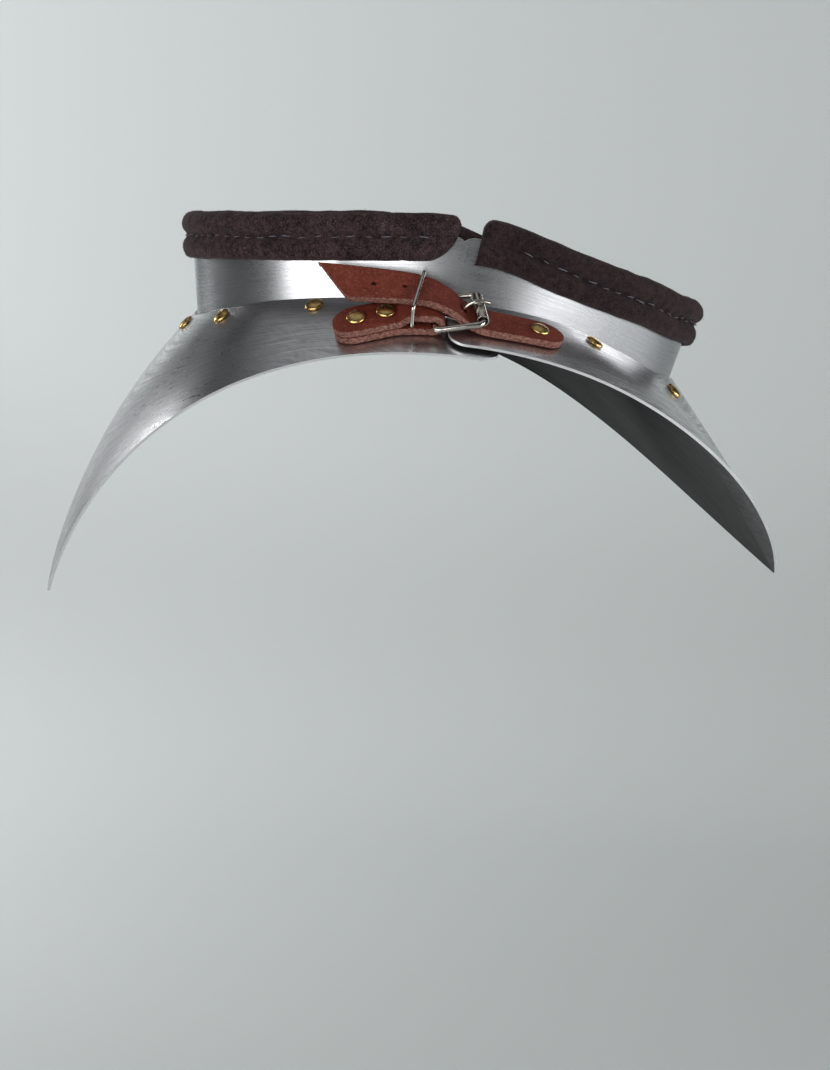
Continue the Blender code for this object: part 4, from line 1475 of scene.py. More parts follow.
class NodeTree:
    """A Geometry Nodes tree that is built in code, with named inputs."""

    def __init__(self, name: str) -> None:
        """Start a tree with one geometry in and out.

        Args:
            name: the tree's name.
        """
        self.tree = bpy.data.node_groups.new(name, "GeometryNodeTree")
        self.tree.interface.new_socket("Geometry", in_out="INPUT", socket_type="NodeSocketGeometry")
        self.tree.interface.new_socket("Geometry", in_out="OUTPUT", socket_type="NodeSocketGeometry")
        self.inputs = self.tree.nodes.new("NodeGroupInput")
        self.outputs = self.tree.nodes.new("NodeGroupOutput")

    def input(self, name: str, kind: str) -> bpy.types.NodeSocket:
        """Add a named input.

        Args:
            name: its name.
            kind: its socket type.

        Returns:
            The socket inside the tree.
        """
        self.tree.interface.new_socket(name, in_out="INPUT", socket_type=kind)
        return self.inputs.outputs[name]

    def node(self, kind: str, settings: dict | None = None, values: dict | None = None) -> bpy.types.Node:
        """Add a node.

        Args:
            kind: its type name.
            settings: its own settings, set first.
            values: its inputs, numbers or sockets.

        Returns:
            The node.
        """
        made = self.tree.nodes.new(kind)
        for key, value in (settings or {}).items():
            setattr(made, key, value)
        for key, value in (values or {}).items():
            if isinstance(value, bpy.types.NodeSocket):
                self.tree.links.new(value, made.inputs[key])
            else:
                made.inputs[key].default_value = value
        return made

    def close(self, geometry: bpy.types.NodeSocket, material: bpy.types.Material) -> None:
        """End the tree in Realize Instances and Set Material.

        Args:
            geometry: what the tree makes.
            material: its material.
        """
        real = self.node("GeometryNodeRealizeInstances", None, {"Geometry": geometry})
        values = {"Geometry": real.outputs[0], "Material": material}
        dressed = self.node("GeometryNodeSetMaterial", None, values)
        self.tree.links.new(dressed.outputs[0], self.outputs.inputs[0])

    def run(self, piece: bpy.types.Object, values: dict) -> None:
        """Run the tree on a piece and keep its result as the piece's mesh.

        Args:
            piece: the piece.
            values: the tree's inputs by name.
        """
        modifier = piece.modifiers.new(self.tree.name, "NODES")
        modifier.node_group = self.tree
        for item in self.tree.interface.items_tree:
            if item.in_out == "INPUT" and item.name in values:
                modifier[item.identifier] = values[item.name]
        freeze(piece)


def point_cloud(name: str, points: list[Vector], axes: list[Vector], heads: list[Vector],
                slot: str) -> bpy.types.Object:
    """Loose points that carry two directions.

    Args:
        name: the piece's name.
        points: the places.
        axes: for each point the way up.
        heads: for each point the way ahead.
        slot: the record's material slot.

    Returns:
        The piece.
    """
    data = bpy.data.meshes.new(name)
    data.from_pydata([tuple(point) for point in points], [], [])
    for key, vectors in (("Axis", axes), ("Head", heads)):
        layer = data.attributes.new(key, "FLOAT_VECTOR", "POINT")
        layer.data.foreach_set("vector", [value for vector in vectors for value in vector])
    piece = placed(name, data)
    piece["slot"] = slot
    return piece


class Scatter:
    """Sets a small shape on points, turned by their own directions."""

    @staticmethod
    def run(piece: bpy.types.Object, shape: bpy.types.Object, finish: object, tilt: float, vary: float,
            seed: int) -> None:
        """Replace the points of a piece by copies of a shape.

        Args:
            piece: points with the attributes Axis and Head.
            shape: the shape, which is removed afterwards.
            finish: its finish.
            tilt: largest random turn, in radians.
            vary: largest random change of size, as a share.
            seed: for both.
        """
        tree = NodeTree(piece.name + "_scatter")
        object_in = tree.input("Shape", "NodeSocketObject")
        tilt_in = tree.input("Tilt", "NodeSocketFloat")
        vary_in = tree.input("Vary", "NodeSocketFloat")
        seed_in = tree.input("Seed", "NodeSocketInt")
        info = tree.node("GeometryNodeObjectInfo", None, {"Object": object_in})
        vector = {"data_type": "FLOAT_VECTOR"}
        axis = tree.node("GeometryNodeInputNamedAttribute", vector, {"Name": "Axis"})
        head = tree.node("GeometryNodeInputNamedAttribute", vector, {"Name": "Head"})
        facing = tree.node("FunctionNodeAxesToRotation", {"primary_axis": "Z", "secondary_axis": "X"},
                           {"Primary Axis": axis.outputs[0], "Secondary Axis": head.outputs[0]})
        back = tree.node("ShaderNodeMath", {"operation": "MULTIPLY"}, {0: tilt_in, 1: -1.0})
        low = tree.node("ShaderNodeCombineXYZ", None, {i: back.outputs[0] for i in range(3)})
        high = tree.node("ShaderNodeCombineXYZ", None, {i: tilt_in for i in range(3)})
        wobble = tree.node("FunctionNodeRandomValue", vector,
                           {0: low.outputs[0], 1: high.outputs[0], "Seed": seed_in})
        turned = tree.node("FunctionNodeRotateRotation", {"rotation_space": "LOCAL"},
                           {0: facing.outputs[0], 1: wobble.outputs[0]})
        least = tree.node("ShaderNodeMath", {"operation": "SUBTRACT"}, {0: 1.0, 1: vary_in})
        most = tree.node("ShaderNodeMath", {"operation": "ADD"}, {0: 1.0, 1: vary_in})
        size = tree.node("FunctionNodeRandomValue", {"data_type": "FLOAT"},
                         {2: least.outputs[0], 3: most.outputs[0], "Seed": seed_in})
        copies = tree.node("GeometryNodeInstanceOnPoints", None, {
            "Points": tree.inputs.outputs[0], "Instance": info.outputs["Geometry"],
            "Rotation": turned.outputs[0], "Scale": size.outputs[1]})
        tree.close(copies.outputs[0], finish_named(finish))
        tree.run(piece, {"Shape": shape, "Tilt": tilt, "Vary": vary, "Seed": seed})
        bpy.data.objects.remove(shape)


@dataclass
class Stitching:
    """Running stitch of grey thread in the groove of a pad."""

    pad: NeckPad
    thread: float = 0.22 * MM
    length: float = 3.4 * MM
    sink: float = 0.75 * MM
    out_seat: float = 0.80
    inner_seat: float = 0.86
    bow: float = 0.45 * MM
    level: float = -1.05 * MM
    stray: float = 0.45 * MM

    def shape(self) -> bpy.types.Object:
        """One stitch: a bowed piece of thread that dips into the felt at both ends.

        Returns:
            The shape.
        """
        steps = 9
        points = []
        for k in range(steps):
            t = k / (steps - 1) * 2 - 1
            points.append(Vector((t * self.length / 2, 0, self.bow * (1 - 2 * t ** 4))))
        radii = [self.thread * (1 - 0.35 * abs(2 * k / (steps - 1) - 1)) for k in range(steps)]
        return MeshMaker.sweep("one_stitch", MeshMaker.tube_rings(points, radii, sides=6), THREAD, "felt")

    def make(self) -> None:
        """Build the stitches of both faces of the pad."""
        span = RANGES[self.pad.half]
        last = int(self.pad.phase(span.end(span.pad) - math.radians(6)))
        chance = random.Random(11 if self.pad.half is Half.BACK else 5)
        points, axes, heads = [], [], []
        for face in (1, -1):
            seat = self.pad.out * self.out_seat if face > 0 else self.pad.inner * self.inner_seat
            depth = seat - self.sink
            for k in range(-last, last + 1):
                turn = span.place((k + chance.uniform(-0.08, 0.08)) / self.pad.phase(1))
                lift = self.level + chance.uniform(-self.stray, self.stray)
                points.append(self.pad.point(turn, face * depth, lift))
                axes.append(FORM.outward(turn) * face)
                heads.append((FORM.rim(turn + 0.01) - FORM.rim(turn - 0.01)).normalized())
        name = f"{self.pad.half.value}_stitches"
        piece = point_cloud(name, points, axes, heads, "felt")
        Scatter.run(piece, self.shape(), THREAD, tilt=0.16, vary=0.3, seed=4)
        stand_for(piece)


@dataclass
class FeltNap:
    """Short loose fibres that stand off a felt pad."""

    half: Half
    cloth: bpy.types.Object
    count: int = 14000
    length: float = 0.75 * MM
    width: float = 0.035 * MM
    droop: float = 0.9

    def make(self) -> None:
        """Scatter the fibres over the pad."""
        name = f"{self.half.value}_felt_nap"
        data = bpy.data.meshes.new("one_fibre")
        bend, waist = self.length * 0.25, self.width * 0.6
        bent = [(0, -self.width, 0), (0, self.width, 0), (bend, waist, self.length * 0.5),
                (bend, -waist, self.length * 0.5), (self.length * 0.7, 0, self.length * 0.8)]
        data.from_pydata(bent, [], [(0, 1, 2, 3), (3, 2, 4)])
        fibre = placed("one_fibre", data)
        piece = placed(name, self.cloth.data.copy())
        piece["slot"] = "felt"
        tree = NodeTree(name)
        shape = tree.input("Fibre", "NodeSocketObject")
        amount = tree.input("Density", "NodeSocketFloat")
        seed = tree.input("Seed", "NodeSocketInt")
        info = tree.node("GeometryNodeObjectInfo", None, {"Object": shape})
        spread = tree.node("GeometryNodeDistributePointsOnFaces", None, {
            "Mesh": tree.inputs.outputs[0], "Density": amount, "Seed": seed})
        values = {0: (-self.droop, -self.droop, -math.pi), 1: (self.droop, self.droop, math.pi), "Seed": seed}
        wobble = tree.node("FunctionNodeRandomValue", {"data_type": "FLOAT_VECTOR"}, values)
        turned = tree.node("FunctionNodeRotateRotation", {"rotation_space": "LOCAL"},
                           {0: spread.outputs["Rotation"], 1: wobble.outputs[0]})
        copies = tree.node("GeometryNodeInstanceOnPoints", None, {
            "Points": spread.outputs["Points"], "Instance": info.outputs["Geometry"],
            "Rotation": turned.outputs[0]})
        tree.close(copies.outputs[0], finish_named(NAP))
        area = sum(face.area for face in self.cloth.data.polygons)
        tree.run(piece, {"Fibre": fibre, "Density": self.count / area, "Seed": 7})
        bpy.data.objects.remove(fibre)
        stand_for(piece)


@dataclass
class Rivets:
    """Domed brass rivets of the plates and the straps."""

    head: float = 3.8 * MM
    dome: float = 1.7 * MM
    shank: float = 1.5 * MM
    tail: float = 2.6 * MM
    tail_height: float = 0.8 * MM
    tail_gap: float = 0.55 * MM
    line: float = 6.5 * MM
    lip: float = 0.12
    crown: float = math.pi / 2 * 8 / 8.6
    sides: int = 28

    def shape(self, low: float, high: float) -> bpy.types.Object:
        """One rivet on the axis Z.

        Args:
            low: height of the tail's seat.
            high: height of the head's seat.

        Returns:
            The shape.
        """
        profile = [(self.tail * 0.7, low - self.tail_height), (self.tail, low - self.tail_height * 0.6),
                   (self.tail, low), (self.shank, low), (self.shank, high), (self.head * 0.94, high),
                   (self.head, high + self.lip * self.dome)]
        for k in range(1, 9):
            turn = self.crown * k / 8
            height = high + self.dome * (self.lip + (1 - self.lip) * math.sin(turn))
            profile.append((self.head * math.cos(turn) ** 0.92, height))
        rings = []
        for radius, height in profile:
            points = [(math.cos(a) * radius, math.sin(a) * radius, height) for a in circle(self.sides)]
            rings.append([Vector(point) for point in points])
        return MeshMaker.sweep("one_rivet", rings, BRASS, "brass")

    def set(self, name: str, places: list[tuple[float, float]], low: float, high: float,
            nodes: list[str]) -> None:
        """Set a group of rivets that go through the same layers.

        Args:
            name: the piece's name.
            places: turn in degrees and distance from the foot of each rivet.
            low: height of the tail's seat over the back plate.
            high: height of the head's seat.
            nodes: the nodes that they stand for.
        """
        points, axes, heads = [], [], []
        for degrees, across in places:
            turn = math.radians(degrees)
            points.append(FORM.over(turn, across, 0))
            axes.append(FORM.normal_at(turn, across))
            heads.append(FORM.uphill(turn, across))
        piece = point_cloud(name, points, axes, heads, "brass")
        Scatter.run(piece, self.shape(low, high), BRASS, tilt=0.0, vary=0.0, seed=1)
        stand_for(piece, *nodes)

    def make(self) -> None:
        """Set all the rivets."""
        for half, turns in ((Half.BACK, (0, 27, -27, 55, -55)), (Half.FRONT, (150, -150, 117, -117))):
            level = STACK.plate_level(half)
            low = (level - 1) * STACK.layer - STACK.sheet / 2 - self.tail_gap
            high = level * STACK.layer + STACK.sheet / 2 + STACK.gap
            nodes = [f"{half.value}_rivet_{k + 1}" for k in range(len(turns))]
            self.set(f"{half.value}_plate_rivets", [(turn, self.line) for turn in turns], low, high, nodes)
        chape_top = STACK.lower_fold + 1.5 * STACK.leather + STACK.gap
        for side in Side:
            strap = BuckledStrap(side)
            places = [(turn * side.value, across) for turn, across in strap.chape_rivets]
            nodes = [f"{side.label}_chape_rivet_{k}" for k in (1, 2)]
            low = -STACK.sheet / 2 - self.tail_gap
            self.set(f"{side.label}_chape_rivets", places, low, chape_top + STACK.gap, nodes)
            low = 2 * STACK.layer - STACK.sheet / 2 - self.tail_gap
            high = STACK.tail_bed + STACK.leather / 2 + STACK.gap
            turn, across = strap.tail_rivet
            self.set(f"{side.label}_strap_end_rivet", [(turn * side.value, across)], low, high,
                     [f"{side.label}_strap_rivet"])


@dataclass
class BuckledStrap:
    """Leather, roller buckle and keeper of one side."""

    side: Side
    width: float = 15.4 * MM
    bar: float = 1.25 * MM
    roller: float = 2.5 * MM
    roller_wall: float = 0.45 * MM
    prong: float = 0.9 * MM
    keeper_wire: float = 0.8 * MM
    frame_inner: float = 18.6 * MM
    hinge_turn: float = 80.2
    roller_turn: float = 88.8
    hinge_across: float = 15.4 * MM
    roller_across: float = 14.4 * MM
    prong_turn: float = 85.5
    prong_tip: float = 90.6
    tip_cut: float = 15.5 * MM
    holes: tuple[float, ...] = (68.8, 74.6)
    chape_route: tuple[tuple[float, ...], ...] = (
        (62.8, 24.3, 0.0), (65.2, 23.8, 0.0), (69.0, 20.8, 0.0), (71.8, 18.3, 0.0), (73.7, 17.1, 0.02),
        (75.8, 16.4, 1.0), (77.6, 15.9, 1.0),
    )
    tail_route: tuple[tuple[float, ...], ...] = (
        (57.5, 8.8, 9.2, 20), (61.0, 9.5, 8.9, 20), (65.0, 10.2, 8.65, 18), (69.0, 10.6, 8.4, 16),
        (73.5, 10.7, 8.1, 12), (77.0, 11.1, 7.8, 8), (79.9, 12.0, 7.2, 3), (83.2, 13.5, 5.2, 0),
        (86.2, 14.7, 2.1, 0), (89.2, 15.4, 0.5, 0), (93.0, 16.5, 0.1, 0), (97.0, 17.7, 0.1, 0),
        (100.0, 18.5, 0.1, 0), (101.6, 18.9, 0.1, 0), (103.4, 19.4, 0.1, 0),
    )
    keeper_turns: tuple[float, float] = (76.3, 78.2)
    chape_rivets: tuple[tuple[float, float], ...] = ((66.7, 22.7 * MM), (71.6, 18.4 * MM))
    tail_rivet: tuple[float, float] = (98.9, 18.3 * MM)
    keeper_room: float = 0.8 * MM
    keeper_corner: float = 2.2 * MM
    frame_corner: float = 2.6 * MM
    rivet_hole: float = 1.8 * MM
    strap_hole: float = 1.25 * MM
    prong_hole: float = 2.2 * MM
    slot_width: float = 3.2 * MM
    edge_ease: float = 0.45 * MM
    edge_belly: float = 0.12 * MM
    face_steps: int = 10
    roller_inset: float = 2.1 * MM
    seam: tuple[float, float] = (38, 345)

    def turn(self, degrees: float) -> float:
        """Turn in radians on this side."""
        return math.radians(degrees) * self.side.value

    def layer_gap(self, part: float) -> float:
        """Distance between the folded strap's two layers, where they part by a share."""
        close = STACK.leather + STACK.gap
        return close + (STACK.leather + 2 * self.bar + 2 * STACK.gap - close) * part

    @property
    def bar_height(self) -> float:
        """Height of the hinge bar."""
        return STACK.lower_fold + self.layer_gap(1) / 2

    def hinge(self) -> tuple[Vector, Vector, Vector, Vector]:
        """Middle of the hinge bar, and its directions ahead, across and up.

        Returns:
            The middle and the three unit directions.
        """
        turn = self.turn(self.hinge_turn)
        middle = FORM.over(turn, self.hinge_across, self.bar_height)
        side = FORM.uphill(turn, self.hinge_across)
        up = FORM.normal_at(turn, self.hinge_across)
        ahead = side.cross(up)
        return middle, ahead if ahead.y < 0 else -ahead, side, up

    def strip(self, points: list[Vector], sides: list[Vector], reaches: list[tuple[float, float]],
              name: str) -> bpy.types.Object:
        """Leather strip with eased edges.

        Args:
            points: its middle line.
            sides: the way across at each point.
            reaches: how far it reaches to each side at each point.
            name: the piece's name.

        Returns:
            The piece.
        """
        half, ease = STACK.leather / 2, self.edge_ease
        slope = ease * 0.3
        side = [(slope, half - slope, 0.7), (0, half - ease, 1.0), (-self.edge_belly, 0, 1.0),
                (0, ease - half, 1.0), (slope, slope - half, 1.0)]
        steps = self.face_steps
        shape = [(1 - 2 * k / steps, ease, half, 0.0) for k in range(steps + 1)]
        shape += [(-1, *item) for item in side]
        shape += [(2 * k / steps - 1, ease, -half, 0.3) for k in range(steps + 1)]
        shape += [(1, *item) for item in reversed(side)]
        last = len(points) - 1
        rings = []
        for i, point in enumerate(points):
            tangent = (points[min(i + 1, last)] - points[max(i - 1, 0)]).normalized()
            side = (sides[i] - tangent * sides[i].dot(tangent)).normalized()
            face = tangent.cross(side) * self.side.value
            high, low = reaches[i]
            ring = []
            for way, drawn, height, _ in shape:
                share = (way + 1) / 2
                drawn = min(drawn, 0.3 * (high + low))
                reach = (high - drawn) * share - (low - drawn) * (1 - share)
                ring.append(point + side * reach + face * height)
            rings.append(ring)
        raw = [item[3] for item in shape]
        return MeshMaker.sweep(name, rings, LEATHER, "leather", raw=raw)

    def punch(self, point: Vector, axis: Vector, radius: float, length: float) -> bpy.types.Object:
        """Round cutter for a punched hole.

        Args:
            point: the hole's middle.
            axis: its direction.
            radius: in metres.
            length: in metres.

        Returns:
            The cutter.
        """
        ends = [point - axis * length / 2, point + axis * length / 2]
        rings = MeshMaker.tube_rings(ends, [radius, radius], sides=20)
        return MeshMaker.sweep("punch", rings, LEATHER, "leather", raw=[1.0] * 20)

    def fine_tail(self) -> list[tuple[float, float, float, float]]:
        """Rows of the tail's route, smoothed to short steps.

        Returns:
            The rows, in the route's own order.
        """
        columns = [[row[c] for row in self.tail_route] for c in range(4)]
        steps = 9
        rows = []
        for k in range((len(self.tail_route) - 1) * steps + 1):
            rows.append(tuple(through(column, k / steps) for column in columns))
        return rows

    def tail_place(self, row: tuple[float, ...]) -> tuple[Vector, Vector]:
        """Middle of the buckled strap and the way across it, for one row of its route.

        Args:
            row: a row of the route.

        Returns:
            The middle and the way across.
        """
        turn, across, tilt = self.turn(row[0]), row[1] * MM, math.radians(row[3])
        up = FORM.normal_at(turn, across)
        point = FORM.over(turn, across, STACK.tail_bed + row[2] * MM)
        return point, FORM.uphill(turn, across) * math.cos(tilt) + up * math.sin(tilt)

    def tail_height(self, degrees: float) -> float:
        """Height of the buckled strap's middle over the back plate."""
        return STACK.tail_bed + self.row(self.tail_route, degrees)[2] * MM

    def roller_height(self) -> float:
        """Height of the roller's axis."""
        return self.tail_height(self.roller_turn) + STACK.leather / 2 + STACK.gap + self.roller

    def make_tail(self) -> None:
        """Long strap of the front half, through the buckle to its loose tip."""
        places = [self.tail_place(row) for row in self.fine_tail()]
        points, sides = [place[0] for place in places], [place[1] for place in places]
        half = self.width / 2
        lengths = MeshMaker.lengths(points)
        reaches = []
        for length in lengths:
            low = half * max(min(2 * length / self.tip_cut - 1, 1), -0.93)
            left = lengths[-1] - length
            share = round_end(left, half)
            reaches.append((half * share, low * share))
        piece = self.strip(points, sides, reaches, f"{self.side.label}_long_strap")
        cutters = []
        turns = [row[0] for row in self.fine_tail()]
        holes = [(turn, self.strap_hole) for turn in self.holes] + [(self.prong_turn, self.prong_hole)]
        for degrees, radius in holes:
            near = min(range(len(turns)), key=lambda i: abs(turns[i] - degrees))
            axis = (points[near + 1] - points[near - 1]).cross(sides[near]).normalized()
            cutters.append(self.punch(points[near], axis, radius, 3 * STACK.leather))
        turn, across = self.turn(self.tail_rivet[0]), self.tail_rivet[1]
        cutters.append(self.punch(FORM.over(turn, across, STACK.tail_bed), FORM.normal_at(turn, across),
                                  self.rivet_hole, 3 * STACK.leather))
        cut_away(piece, cutters)
        stand_for(piece, f"{self.side.label}_strap")

    def make_chape(self) -> None:
        """Short strap folded around the buckle's hinge bar."""
        middle, ahead, side, up = self.hinge()
        steps = 8
        columns = [[row[c] for row in self.chape_route] for c in range(3)]
        low, high, sides = [], [], []
        for k in range((len(self.chape_route) - 1) * steps + 1):
            degrees, across_mm, part = (through(column, k / steps) for column in columns)
            part = min(max(part, 0), 1)
            turn, across = self.turn(degrees), across_mm * MM
            low.append(FORM.over(turn, across, STACK.lower_fold))
            high.append(FORM.over(turn, across, STACK.lower_fold + self.layer_gap(part)))
            sides.append(FORM.uphill(turn, across))
        for i, way in enumerate(sides):
            step = (low[min(i + 1, len(low) - 1)] - low[max(i - 1, 0)]).normalized()
            sides[i] = (way - step * way.dot(step)).normalized()
        angles = [math.pi * k / 14 for k in range(15)]
        bend = self.layer_gap(1) / 2
        fold = [middle + (ahead * math.sin(a) - up * math.cos(a)) * bend for a in angles]
        points = low + fold + high[::-1]
        ways = sides + [side] * len(fold) + sides[::-1]
        half = self.width / 2
        lengths = MeshMaker.lengths(points)
        reaches = []
        for length in lengths:
            left = min(length, lengths[-1] - length)
            reach = half * round_end(left, half)
            reaches.append((reach, reach))
        piece = self.strip(points, ways, reaches, f"{self.side.label}_folded_strap")
        cutters = []
        for degrees, across in self.chape_rivets:
            turn = self.turn(degrees)
            height = STACK.lower_fold + self.layer_gap(0) / 2
            place = FORM.over(turn, across, height)
            axis = FORM.normal_at(turn, across)
            cutters.append(self.punch(place, axis, self.rivet_hole, 4 * STACK.leather))
        cutters.append(self.slot_cutter(middle + ahead * STACK.leather / 2, ahead, side, up))
        cut_away(piece, cutters)
        stand_for(piece, f"{self.side.label}_chape")

    def slot_cutter(self, middle: Vector, ahead: Vector, side: Vector, up: Vector) -> bpy.types.Object:
        """Long cutter for the prong's slot, with round ends.

        Args:
            middle: the slot's middle.
            ahead: its long direction.
            side: its short direction.
            up: its deep direction.

        Returns:
            The cutter.
        """
        radius, depth = self.slot_width / 2, 4 * STACK.leather
        straight = STACK.leather + 1.5 * self.roller - radius
        outline = []
        for end in (1, -1):
            for k in range(9):
                a = math.pi * k / 8 - math.pi / 2
                outline.append((end * (straight + math.cos(a) * radius), end * math.sin(a) * radius))
        rings = []
        for z in (-depth / 2, depth / 2):
            rings.append([middle + ahead * x + side * y + up * z for x, y in outline])
        return MeshMaker.sweep("slot_punch", rings, LEATHER, "leather", raw=[1.0] * len(outline))

    def make_frame(self) -> None:
        """Bent wire frame of the buckle."""
        reach = self.frame_inner / 2 + self.bar
        hinge, roller = self.turn(self.hinge_turn), self.turn(self.roller_turn)
        corners = []
        for turn, across, height, signs in (
            (hinge, self.hinge_across, self.bar_height, (1, -1)),
            (roller, self.roller_across, self.roller_height(), (-1, 1)),
        ):
            middle, side = FORM.over(turn, across, height), FORM.uphill(turn, across)
            corners += [middle + side * reach * sign for sign in signs]
        points = MeshMaker.rounded_loop(corners, self.frame_corner)
        rings = MeshMaker.tube_rings(points, [self.bar] * len(points), closed=True)
        piece = MeshMaker.sweep(f"{self.side.label}_buckle_wire", rings, NICKEL, "nickel", closed=True)
        stand_for(piece, f"{self.side.label}_buckle_frame")

    def make_roller(self) -> None:
        """Roller of rolled sheet with an open seam."""
        turn = self.turn(self.roller_turn)
        middle = FORM.over(turn, self.roller_across, self.roller_height())
        axis = FORM.uphill(turn, self.roller_across)
        up = FORM.normal_at(turn, self.roller_across)
        up = (up - axis * up.dot(axis)).normalized()
        other = axis.cross(up)
        half = self.frame_inner / 2 + self.bar - self.roller_inset
        inside = self.roller - self.roller_wall
        rings = []
        start, sweep = (math.radians(degrees) for degrees in self.seam)
        for k in range(41):
            a = start + sweep * k / 40
            spoke = up * math.cos(a) + other * math.sin(a)
            corners = ((self.roller, -half), (self.roller, half), (inside, half), (inside, -half))
            rings.append([middle + axis * along + spoke * radius for radius, along in corners])
        piece = MeshMaker.sweep(f"{self.side.label}_roller_tube", rings, NICKEL, "nickel")
        MeshMaker.ease_edges(piece, 0.12 * MM)
        stand_for(piece, f"{self.side.label}_buckle_roller")

    def make_prong(self) -> None:
        """Prong: hooked around the hinge bar, up through the strap and over the roller."""
        middle, ahead, _, up = self.hinge()
        radius = self.bar + STACK.gap + self.prong
        points = []
        for degrees in range(100, 311, 15):
            angle = math.radians(degrees)
            points.append(middle + (ahead * math.cos(angle) + up * math.sin(angle)) * radius)
        top = self.roller_height() + self.roller + STACK.gap + self.prong
        hole = self.tail_height(self.prong_turn)
        route = (
            (82.8, self.bar_height - 0.2 * self.prong), (self.prong_turn - 0.9, hole - 1.1 * STACK.leather),
            (self.prong_turn + 0.3, hole + 0.5 * STACK.leather), (87.1, top - 0.9 * MM),
            (self.roller_turn, top + 0.1 * MM), (self.prong_tip, top - 0.3 * MM),
        )
        way = []
        for degrees, height in route:
            share = (degrees - self.hinge_turn) / (self.roller_turn - self.hinge_turn)
            across = self.hinge_across + (self.roller_across - self.hinge_across) * share
            way.append(FORM.over(self.turn(degrees), across, height))
        line = [points[-1]] + way
        for k in range(1, (len(line) - 1) * 6 + 1):
            points.append(through(line, k / 6))
        count = len(points)
        radii = [self.prong * (1 - 0.35 * smooth(k, count * 0.75, count)) for k in range(count)]
        radii[-1] *= 0.5
        rings = MeshMaker.tube_rings(points, radii, sides=12)
        piece = MeshMaker.sweep(f"{self.side.label}_prong_wire", rings, NICKEL, "nickel")
        stand_for(piece, f"{self.side.label}_buckle_prong")

    def row(self, route: tuple[tuple[float, ...], ...], degrees: float) -> list[float]:
        """Row of a route at any turn, on straight lines between its rows.

        Args:
            route: rows that start with their turn in degrees.
            degrees: the turn.

        Returns:
            The row.
        """
        i = max(k for k in range(len(route) - 1) if k == 0 or route[k][0] <= degrees)
        t = (degrees - route[i][0]) / (route[i + 1][0] - route[i][0])
        return [one + (two - one) * t for one, two in zip(route[i], route[i + 1])]

    def keeper_side(self, degrees: float, way: int) -> tuple[Vector, Vector]:
        """Lower and upper corner of the keeper beside both straps.

        Args:
            degrees: turn of this side.
            way: 1 towards the collar, else -1.

        Returns:
            The two corners.
        """
        turn = self.turn(degrees)
        across = self.row(self.chape_route, degrees)[1] * MM
        fold = FORM.over(turn, across, self.bar_height)
        side, up = FORM.uphill(turn, across), FORM.normal_at(turn, across)
        point, tail_side = self.tail_place(self.row(self.tail_route, degrees))
        tail_edge = point + tail_side * (way * self.width / 2) - fold
        room = self.keeper_wire + self.keeper_room
        reach = max(self.width / 2, tail_edge.dot(side) * way) + room
        low = fold + side * (way * reach)
        return low, low + up * (tail_edge.dot(up) + STACK.leather / 2 + room)

    def make_keeper(self) -> None:
        """Wire loop that holds the loose strap down."""
        low, high = self.keeper_side(self.keeper_turns[0], -1)
        far_low, far_high = self.keeper_side(self.keeper_turns[1], 1)
        points = MeshMaker.rounded_loop([low, high, far_high, far_low], self.keeper_corner)
        rings = MeshMaker.tube_rings(points, [self.keeper_wire] * len(points), closed=True)
        piece = MeshMaker.sweep(f"{self.side.label}_keeper_wire", rings, NICKEL, "nickel", closed=True)
        stand_for(piece, f"{self.side.label}_keeper")

    def make(self) -> None:
        """Build every piece of this side."""
        self.make_chape()
        self.make_tail()
        self.make_frame()
        self.make_roller()
        self.make_prong()
        self.make_keeper()


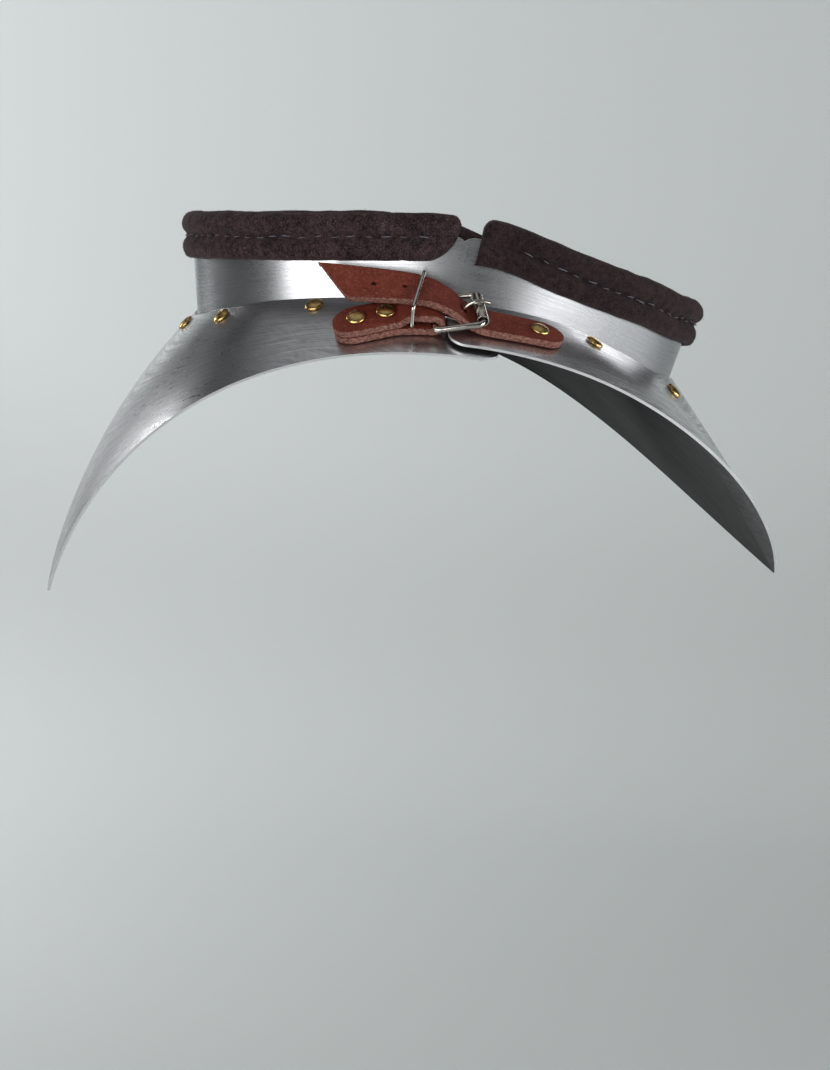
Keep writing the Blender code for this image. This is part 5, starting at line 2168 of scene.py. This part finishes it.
@dataclass
class Studio:
    """Plain pale studio: a round paper sweep, soft lights and the camera."""

    floor_level: float = -0.62
    wall: float = 2.4
    wall_height: float = 3.0
    bend: float = 0.9
    sides: int = 96
    pale_from: tuple[float, float] = (1.85, 2.3)
    pale_turn: float = 0.25
    paper_color: tuple[float, float, float] = (0.62, 0.65, 0.645)
    paper_shade: tuple[float, float, float] = (0.60, 0.63, 0.625)
    # Painted shade: the walls away from the pale part are painted near black, standing in for an unlit room.
    wall_color: tuple[float, float, float] = (0.035, 0.036, 0.038)
    daylight: tuple[float, float, float, float] = (0.93, 0.97, 1.0, 1)
    daylight_strength: float = 0.14
    heading: float = 9.533
    pitch: float = 6.907
    lens: float = 94.88
    eye: tuple[float, float, float] = (-1.1818, 0.2084, 0.050)

    def camera(self) -> None:
        """Camera at the photograph's place."""
        data = bpy.data.cameras.new("camera")
        data.lens = self.lens
        data.sensor_width = 36
        camera = placed("camera", data)
        camera.location = self.eye
        heading, pitch = math.radians(self.heading), math.radians(self.pitch)
        level = math.cos(pitch)
        forward = Vector((math.cos(heading) * level, -math.sin(heading) * level, -math.sin(pitch)))
        camera.rotation_mode = "QUATERNION"
        camera.rotation_quaternion = forward.to_track_quat("-Z", "Y")
        bpy.context.scene.camera = camera

    def paper_finish(self) -> bpy.types.Material:
        """Paper that is pale past the gorget and on the floor; its walls at the other sides are painted near
        black as painted shade, standing in for an unlit room.

        Returns:
            The material.
        """
        tree = ShaderTree("studio_paper")
        pale = (tree.ordinate("X") - tree.ordinate("Y") * self.pale_turn).step(*self.pale_from)
        wall = tree.ordinate("Z").step(self.floor_level + 0.05, self.floor_level + 0.6)
        paper = tree.blend(tree.noise(tree.place(), 2.2, 2, 0.5), self.paper_color, self.paper_shade)
        # Painted shade on the walls at the other sides.
        tone = tree.blend(wall * (1 - pale), paper, self.wall_color)
        return tree.dress(Base_Color=tone, Roughness=0.95, Specular_IOR_Level=0.1)

    def paper(self) -> None:
        """Floor that curves up into a round wall."""
        builder = bmesh.new()
        profile = [(0.02, 0.0), (self.wall * 0.5, 0.0)]
        steps = 12
        for k in range(1, steps + 1):
            a = math.pi / 2 * k / steps
            profile.append((self.wall + (math.sin(a) - 1) * self.bend, (1 - math.cos(a)) * self.bend))
        profile.append((self.wall, self.wall_height))
        loops = []
        for radius, height in profile:
            level = self.floor_level + height
            ring = [(math.cos(a) * radius, math.sin(a) * radius, level) for a in circle(self.sides)]
            loops.append([builder.verts.new(point) for point in ring])
        for one, two in zip(loops, loops[1:]):
            for j in range(self.sides):
                k = (j + 1) % self.sides
                builder.faces.new((one[j], one[k], two[k], two[j]))
        builder.faces.new(loops[0])
        bmesh.ops.recalc_face_normals(builder, faces=builder.faces)
        data = bpy.data.meshes.new("paper_sweep")
        builder.to_mesh(data)
        builder.free()
        data.shade_smooth()
        data.materials.append(self.paper_finish())
        placed("paper_sweep", data)

    def softbox(self, name: str, azimuth: float, distance: float, height: float, size: tuple[float, float],
                power: float, aim: tuple[float, float, float] = (0, 0, 0)) -> None:
        """Rectangular light.

        Args:
            name: its name.
            azimuth: its direction from the gorget, in degrees from +X towards +Y.
            distance: its level distance, in metres.
            height: its height, in metres.
            size: width and height, in metres.
            power: in watts.
            aim: the point that it faces.
        """
        data = bpy.data.lights.new(name, "AREA")
        data.shape = "RECTANGLE"
        data.size, data.size_y = size
        data.energy = power
        lamp = placed(name, data)
        turn = math.radians(azimuth)
        lamp.location = (math.cos(turn) * distance, math.sin(turn) * distance, height)
        lamp.rotation_mode = "QUATERNION"
        lamp.rotation_quaternion = (Vector(aim) - lamp.location).to_track_quat("-Z", "Y")

    def make(self) -> None:
        """Set up the studio."""
        self.camera()
        self.paper()
        self.softbox("left_softbox", 130, 1.75, 0.10, (1.10, 1.0), 10.5)
        self.softbox("camera_softbox", 157, 1.75, 0.10, (0.75, 1.0), 7)
        self.softbox("right_softbox", 226, 1.75, 0.05, (1.0, 0.9), 11)
        self.softbox("front_softbox", 260, 1.75, 0.05, (1.1, 0.9), 9)
        self.softbox("backdrop_light", 50, 2.0, 0.5, (0.7, 0.7), 36, aim=(2.4, 0.3, -0.1))
        self.softbox("ceiling_light", 0, 0.0, 2.7, (3.2, 3.2), 7)
        world = bpy.data.worlds.new("studio")
        bpy.context.scene.world = world
        world.use_nodes = True
        background = world.node_tree.nodes["Background"]
        background.inputs["Color"].default_value = self.daylight
        background.inputs["Strength"].default_value = self.daylight_strength
        bpy.context.scene.view_settings.view_transform = "Standard"


def main() -> None:
    """Build the gorget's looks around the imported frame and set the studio."""
    logging.basicConfig(level=logging.INFO, format="%(name)s %(message)s")
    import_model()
    Studio().make()
    for half in Half:
        SteelCollar(half).make()
        ShoulderPlate(half).make()
        NeckPad(half).make()
    Rivets().make()
    for side in Side:
        BuckledStrap(side).make()


if __name__ == "__main__":
    main()
